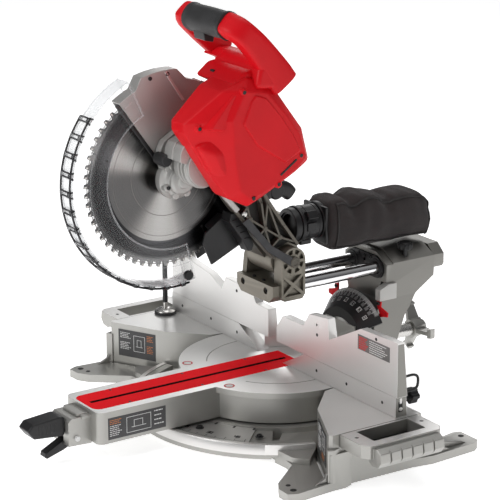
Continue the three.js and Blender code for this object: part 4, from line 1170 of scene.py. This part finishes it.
def fence_detail():
    """Set screws, through holes, the end notch with its clip, and the wire bail behind."""
    # painted shade: the fences' through holes are dark discs
    hole = [(0, -0.25), (2.7, -0.25), (3.3, 0.6), (0, 0.6)]
    head = [(0, -0.2), (2.6, -0.2), (3.2, 0.6), (0, 0.6)]
    low = [(204, 108), (120, 106), (300, 106), (-204, 108), (-120, 106), (-300, 106)]
    for name, body, profile, spots, material in (
            ("fence_right_holes", "fence_right", hole, [(121, 169), (282, 207)], "dark_ink_and_shade"),
            ("fence_left_holes", "fence_left", hole, [(-270, 180), (-120, 182)], "dark_ink_and_shade"),
            ("fence_screws", "base", head, low, "dark_steel")):
        piece(name, body, painted([lathed("y", x, z, profile, 16) for x, z in spots], material))
    for sign, side in ((1, "right"), (-1, "left")):
        x = sign * 335.2
        # painted shade: a dark slab in the end notch
        parts = [(slab(x - 0.8, x + 0.8, 5.5, 13.5, 99, 116), "dark_ink_and_shade"),
                 (lathed("x", 9.5, 104, [(0, x - 2), (3.6, x - 2), (3.6, x + sign * 1.2),
                                         (2.8, x + sign * 1.8), (0, x + sign * 1.8)], 16), "steel"),
                 (slab(x - 0.8, x + 1.1 if sign > 0 else x + 0.8, 7.2, 11.8, 113, 122), "machined")]
        piece("fence_clip_" + side, "base", parts, bevel=0.4)
    for sign, side in ((1, "right"), (-1, "left")):
        reach, top = (338, 213) if sign > 0 else (-333, 207)
        end = extruded("x", [(0.8, 125), (20.0, 125), (12.4, top), (0.8, top)],
                       *sorted((reach - sign * 0.2, reach + sign * 0.4)))
        piece("fence_end_" + side, "fence_" + side, [(end, "casting_dark")])
        end = extruded("x", [(0.8, 91), (22.0, 91), (20.2, 123.2), (0.8, 123.2)],
                       *sorted((sign * 334.8, sign * 335.4)))
        piece("fence_foot_end_" + side, "base", [(end, "casting_dark")])
    wire = smooth_path([(334, 19.5, 156), (336, 33, 157), (337, 41, 153), (337, 42.5, 143), (336, 40, 134),
                        (335, 30, 131), (334, 19.5, 131)], 5)
    piece("fence_bail", "fence_right", [(swept(wire, (2.2, 2.2), 10), "black")])


def wing_detail():
    """Screws in each wing's top bar, and the holes in the feet."""
    head = [(0, 86.4), (3.1, 86.4), (3.1, 88.6), (1.4, 88.9), (1.2, 87.6), (0, 87.6)]
    for sign, side in ((1, "right"), (-1, "left")):
        parts = [lathed("z", sign * 366, y, head, 16) for y in (-99, 28)]
        piece("wing_screws_" + side, "base", painted(parts, "dark_steel"))
    stepped = [(0, 14.6), (4, 14.6), (4, 14.2), (5.4, 14.2), (5.4, 13.6), (0, 13.6)]
    pads = []
    for sign in (-1, 1):
        for x, y, profile in ((334, -196, stepped), (314, -192, disc(3.9, 14.4, 13.6)),
                              (304, 161, disc(4.9, 14.4, 13.6))):
            pads.append(lathed("z", sign * x, y, profile, 20))
    # painted shade: the holes in the feet are dark discs
    piece("foot_holes", "base", painted(pads, "dark_ink_and_shade"))


def skirt_ribs():
    """A corner post on each side table, and the webs down to its front and rear feet."""
    post = [(331, -131), (343, -137), (346, -126), (341, -112)]
    front = [(-130, 14), (-160, 14), (-154, 16), (-140, 22), (-133, 32), (-130, 44)]
    rear = [(48, 14), (150, 14), (140, 18), (90, 30), (60, 54), (48, 74)]
    parts = []
    for sign in (1, -1):
        parts += [extruded("z", [(sign * x, y) for x, y in post], 12, 68),
                  extruded("x", front, sign * 335, sign * 340), extruded("x", rear, sign * 325, sign * 331)]
    piece("skirt_ribs", "base", painted(parts, "casting"), bevel=1.6, segments=3)


def nose_detail():
    """White plugs, the nose's stepped top, and the ribs of the lock handle's grip."""
    plugs = ([(0, 26), (4.6, 26), (4.6, 31), (3.8, 31.8), (0, 31.8)],
             [(0, -26), (4.6, -26), (4.6, -34), (3.8, -34.8), (0, -34.8)])
    piece("nose_plug", "table", painted([lathed("x", *NOSE_AXIS, plug, 24) for plug in plugs], "white_ink"))
    steps = [slab(-33, 30, -396, -379, 76, 82.5), slab(-24, 22, -402, -380, 79.5, 84)]
    piece("nose_steps", "table", painted(steps, "casting"), bevel=1.5, segments=3)
    ribs = [slab(-17.6, 17.6, -468 + 7 * i, -465.5 + 7 * i, 60, 76) for i in range(5)]
    piece("lock_handle_ribs", "miter_lock", painted(ribs, "rubber"), bevel=0.8)


def clamp_detail():
    """Thread on the clamp's rod, the lobes of its wheel, and the cup over its pad."""
    root, crest, pitch = 4.52, 4.82, 1.8
    profile, z = [(0, 112)], 112
    while z < 222:
        profile += [(root, z), (crest, z + pitch / 2), (root, z + pitch)]
        z += pitch
    profile += [(root, z), (0, z)]
    piece("clamp_thread", "clamp_rod", [(lathed("z", *CLAMP_AXIS, profile, 16), "dark_steel")], sharp=60)
    lobe = [(0, 269), (4.5, 269), (5.2, 272), (5.2, 282), (3.6, 285), (0, 285)]
    lobes = [lathed("z", *around(*CLAMP_AXIS, 19, 60 * i), lobe, 12) for i in range(6)]
    piece("clamp_wheel", "clamp_rod", painted(lobes, "black"))
    cup = [(0, 94), (19, 94), (18, 97), (11, 101), (6, 102.5), (0, 102.5)]
    piece("clamp_cup", "clamp_rod", [(lathed("z", *CLAMP_AXIS, cup, 32), "steel")], sharp=50)


# ---------------------------------------------------------------- bevel scale and post

def cone_point(degrees, along, height):
    """A point on the bevel scale's sloping face: along 0 at its inner edge, 1 at its outer."""
    t = math.radians(degrees)
    spread_out, depth = 28, 31.7
    slope = math.hypot(spread_out, depth)
    radius = 68 + spread_out * along + height * depth / slope
    y = 137.3 + depth * along - height * spread_out / slope
    return Vector((radius * math.cos(t), y, 90 + radius * math.sin(t)))


def bevel_marks():
    """Ticks, a pale band, number plates and blocks on the bevel scale, and the two red pointers."""
    parts = []
    for degree in range(46, 135):
        long = 0.22 if degree % 5 == 0 else 0.13
        w = 0.28 if degree % 5 == 0 else 0.17

        def tick(x, y, height, degree=degree):
            return cone_point(degree + x, y, height)
        parts.append((box_on(tick, -w, 0.97 - long, w, 0.97, 0.0, 0.3), "white_ink"))
    band = []
    for step in range(49):
        degree = 44.5 + step * (92 - 0.5) / 48
        band.append([cone_point(degree, a, h) for a, h in ((0.80, -0.1), (0.985, -0.1), (0.985, 0.12),
                                                           (0.80, 0.12))])
    parts.append((lofted(band), "grey_ink"))
    for centre, text in ((50, "0"), (64, "15"), (78, "30"), (92, "45"), (106, "30"), (120, "15")):
        def face(x, y, height, centre=centre):
            return cone_point(centre - x / 1.35, 0.42 + y / 42.3, height)
        wide = 6.6 if len(text) == 2 else 4.4
        parts.append((box_on(face, -wide / 2 - 0.8, -4.2, wide / 2 + 0.8, 4.2, -0.1, 0.25), "white_ink"))
        parts += [(box_on(face, *bar, 0.15, 0.45), "dark_ink_and_shade") for bar in digits(text, 5.0)]
    for degree in range(52, 130, 7):
        def block(x, y, height, degree=degree):
            return cone_point(degree + x, y, height)
        parts.append((box_on(block, -2.1, 0.6, 2.1, 0.76, -0.1, 0.25), "grey_ink"))
    piece("bevel_marks", "table", parts)
    outline = [(57, 183), (67, 179), (66, 170), (86, 164), (85, 156.5), (76, 155), (43, 144.5), (44, 149),
               (64, 158), (57, 170)]
    for sign, side in ((1, "right"), (-1, "left")):
        shape = [(sign * x, z) for x, z in outline]
        body = piece("pointer_" + side, "post", [(extruded("y", shape, 172.6, 175.8), "red_plastic")],
                     bevel=0.5)
        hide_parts("bevel_pointer_" + side)
        piece("pointer_screw_" + side, "post", [(screw("y", sign * 61.5, 176, 172.6, 3.6, -1), "dark_steel")])


def post_detail():
    """Bearing screws, the rail wipers, and the slide lock knob's flutes."""
    spots = ((0, 245), (0, 217), (17, 246), (-17, 246))
    screws = [screw("y", x, z, 187, 3.4, -1, 1.3) for x, z in spots]
    piece("bearing_screws", "post", painted(screws, "dark_steel"))
    ring = [(11.2, 187.2), (16.2, 187.2), (15.2, 185.6), (11.2, 185.6), (11.2, 187.2)]
    wipers = [lathed("y", x, RAIL_Z, ring, 32) for x in (-RAIL_X, RAIL_X)]
    piece("rail_wipers", "post", painted(wipers, "rubber"))
    flute = [(0, 261), (2.4, 261), (2.6, 262.5), (2.4, 269.5), (1.6, 270.6), (0, 270.6)]
    flutes = [lathed("z", *around(48, 238, 11, 36 * i), flute, 10) for i in range(10)]
    piece("slide_knob_flutes", "slide_lock", painted(flutes, "black"))


def bracket_detail():
    """Pivot cap, and the rail clamp screws on the sliding bracket."""
    cap = [(0, 60.8), (5.2, 60.8), (5.2, 63.0), (2.4, 63.0), (2.2, 61.8), (0, 61.8)]
    piece("pivot_cap", "carriage", [(lathed("x", *PIVOT_AXIS, cap, 20), "dark_steel")])
    screws = [screw("y", x, RAIL_Z, -38.6, 5.2, -1, 3) for x in (-RAIL_X, RAIL_X)]
    screws += [screw("z", x, -34, 242, 3.2) for x in (14, -14)]
    piece("bracket_screws", "carriage", painted(screws, "dark_steel"))


def rib(a, b, x0, x1, wide=3.4):
    """A straight web between two (y, z) points, standing from x0 to x1."""
    a, b = Vector(a), Vector(b)
    along = (b - a).normalized() * (wide / 2)
    side = Vector((-along.y, along.x))
    return extruded("x", [tuple(a - side), tuple(b - side), tuple(b + side), tuple(a + side)], x0, x1)


def arm_shell():
    """Cast arm: a dark web with a lattice of ribs on the right face, and the round pivot hub."""
    hub = lathed("x", *PIVOT_AXIS, [(0, -36), (29, -36), (30, -34.5), (30, 34.5), (29, 36), (0, 36)], 48)
    core = [(-36, 284), (-71.5, 329.5), (-62.5, 341), (-55, 352.5), (-48.5, 365), (-42.4, 378), (12, 304),
            (0, 272)]
    cheek = [(-34, 300), (-80, 356), (-124, 404), (-152, 440), (-98, 464), (-47, 384), (6, 312), (-10, 306)]
    parts = [(hub, "olive"), (extruded("x", core, -29, 20), "arm_dark"),
             (extruded("x", cheek, 19.8, 38), "web_dark")]
    nodes = {"bolt": (-98, 376), "n1": (-84, 364), "n2": (-55, 344), "n3": (-25, 324), "n4": (-44, 308),
             "t1": (-90, 386), "t2": (-62, 388), "t3": (-50, 387), "u1": (-128, 424), "u2": (-96, 440),
             "hub1": (-34, 298), "r1": (4, 312), "m": (-68, 332), "u3": (-72, 426)}
    webs = [("bolt", "n1"), ("n1", "n2"), ("n2", "n3"), ("n1", "t1"), ("n1", "m"), ("m", "n4"),
            ("n2", "t2"), ("n2", "n4"), ("n2", "t3"), ("n3", "t3"), ("n3", "n4"), ("n3", "r1"),
            ("n4", "hub1"), ("t1", "u1"), ("t1", "u2"), ("t2", "u2"), ("t2", "u3"), ("t3", "u3"),
            ("bolt", "t1"), ("m", "n2")]
    parts += [(rib(nodes[p], nodes[q], 36, 50.5, 3.6), "rib_olive") for p, q in webs]
    parts += [(lathed("x", *nodes[n], [(0, 36), (4.4, 36), (4.4, 50.8), (3.6, 51.4), (0, 51.4)], 16),
               "rib_olive")
              for n in ("n1", "n2", "n3", "n4")]
    edge = [(-36, 290), (-70, 330), (-121, 392), (-154, 438)]
    rear = [(10, 306), (-18, 344), (-47, 386), (-72, 428), (-94, 466)]
    for line in (edge, rear):
        parts += [(rib(p, q, 36, 52, 5.5), "rib_olive") for p, q in zip(line, line[1:])]
    left_ribs = [((-38, 296), (-50, 352)), ((-22, 318), (-64, 336)), ((2, 302), (-44, 364))]
    parts += [(rib(p, q, -31.5, -28, 3.6), "olive") for p, q in left_ribs]
    shell = piece("arm_shell", "head", parts, bevel=0.8)
    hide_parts("head_arm")
    piece("arm_bolts", "head", [(lathed("x", -98, 376, [(0, 50), (5, 50), (5, 54), (3, 55), (0, 55)], 20),
                                 "steel"), (screw("x", -60, 424, 51, 3.4), "dark_steel")])
    piece("silver_strut", "head", [(rib((-162, 442), (-112, 384), 50, 57, 9), "cast_silver")], bevel=1.4)


def link_bar():
    """Flat steel link from the arm's pivot to the guard, with a bushed eye at the bracket."""
    path = [(-110, 366), (-98, 372), (-52, 318), (-6, 287.5), (3, 281), (-3, 273.5), (-14, 276.5), (-60, 308)]
    bush = [(0, 62.6), (9.5, 62.6), (9.5, 66), (8.4, 66.8), (5.5, 66.8), (5.2, 65.6), (0, 65.6)]
    eye = lathed("x", *PIVOT_AXIS, bush, 28)
    bar = piece("link_bar", "link", [(extruded("x", path, 62.5, 65.5), "dark_steel"), (eye, "rib_olive")],
                bevel=0.7)
    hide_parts("guard_link")


def arm_cover():
    """Ribbed black cover beside the arm."""
    cover = [(-124, 366), (-121, 381), (-107, 378), (-90, 352), (-74, 318), (-78, 308), (-86, 308),
             (-98, 330)]
    parts = [(extruded("x", cover, 24, 47, 0.06), "black")]
    parts += [(rib((-118 + 8 * i, 366 - 11 * i), (-104 + 7 * i, 368 - 12 * i), 46, 48.6, 1.6), "black")
              for i in range(4)]
    piece("arm_cover", "head", parts, bevel=1.6, segments=3)


def spoke_cap():
    """Cap on the three-spoke bevel handle's hub."""
    cap = [(0, 317), (8, 317), (7, 319.2), (0, 319.8)]
    piece("spoke_hub_cap", "bevel_lock", [(lathed("y", 0, 90, cap, 24), "dark_steel")])


# ---------------------------------------------------------------- camera, light, floor

def camera():
    """The photograph's view: a long lens to the front right and above, with its small roll and shift."""
    data = bpy.data.cameras.new("camera")
    obj = bpy.data.objects.new("camera", data)
    bpy.context.scene.collection.objects.link(obj)
    place = Vector((2.7919, -1.9157, 1.2976))
    target = Vector((0.21805, -0.20017, 0.37489))
    turn = (target - place).to_track_quat("-Z", "Y").to_matrix().to_4x4()
    obj.matrix_world = Matrix.Translation(place) @ turn @ Matrix.Rotation(math.radians(-0.24), 4, "Z")
    data.sensor_width = 36
    data.lens = 151.1
    data.shift_x = 0.003
    data.shift_y = -0.002
    bpy.context.scene.camera = obj


def softbox(name, place, target, size, power):
    data = bpy.data.lights.new(name, "AREA")
    data.shape = "RECTANGLE"
    data.size, data.size_y = size
    data.energy = power
    obj = bpy.data.objects.new(name, data)
    obj.location = place
    obj.rotation_euler = (Vector(target) - Vector(place)).to_track_quat("-Z", "Y").to_euler()
    bpy.context.scene.collection.objects.link(obj)


def floor():
    """A plain pale floor that glows a little, so it reads as white in every view."""
    mesh = bpy.data.meshes.new("floor")
    half = 80
    mesh.from_pydata([(-half, -half, 0), (half, -half, 0), (half, half, 0), (-half, half, 0)], [],
                     [(0, 1, 2, 3)])
    obj = bpy.data.objects.new("floor", mesh)
    bpy.context.scene.collection.objects.link(obj)
    pale = finish_material("studio_floor", (0.93, 0.93, 0.93), 0.8, 0.0, blotch=0.8, grain=60, bump=0.01,
                           contrast=0.005, specular=0.0)
    shader = pale.node_tree.nodes["Principled BSDF"]
    shader.inputs["Emission Color"].default_value = (1, 1, 1, 1)
    shader.inputs["Emission Strength"].default_value = 0.72
    mesh.materials.append(pale)


def studio():
    middle = (0.05, -0.1, 0.35)
    softbox("key", (-0.2, -2.8, 1.8), middle, (1.8, 1.2), 36)
    softbox("top", (0.1, 0.4, 3.0), middle, (2.2, 2.2), 27)
    softbox("side", (3.2, 0.9, 1.1), middle, (0.7, 1.5), 5)
    softbox("back", (-2.4, 1.8, 1.8), middle, (1.4, 1.4), 13)
    world = bpy.data.worlds.new("studio")
    world.use_nodes = True
    tree = world.node_tree
    sky = tree.nodes.new("ShaderNodeTexCoord")
    split = tree.nodes.new("ShaderNodeSeparateXYZ")
    link(tree, sky.outputs["Generated"], split.inputs["Vector"])
    link(tree, ramp(tree, split.outputs["Z"], [(0.0, (0.12, 0.12, 0.13)), (0.3, (0.30, 0.30, 0.31)),
                                               (1.0, (1.0, 1.0, 1.0))]),
         tree.nodes["Background"].inputs["Color"])
    tree.nodes["Background"].inputs["Strength"].default_value = 0.36
    bpy.context.scene.world = world
    bpy.context.scene.view_settings.view_transform = "Standard"


dress_all()
handle_shell()
grip_sleeve()
motor_shell()
gear_shell()
upper_guard_trim()
clear_guard_detail()
blade_detail()
dust_bag()
adapter_detail()
duct_shell()
plates()
miter_marks()
ring_band()
kerf_detail()
table_dots()
fence_detail()
wing_detail()
skirt_ribs()
nose_detail()
clamp_detail()
bevel_marks()
post_detail()
bracket_detail()
arm_shell()
link_bar()
arm_cover()
spoke_cap()
camera()
floor()
studio()
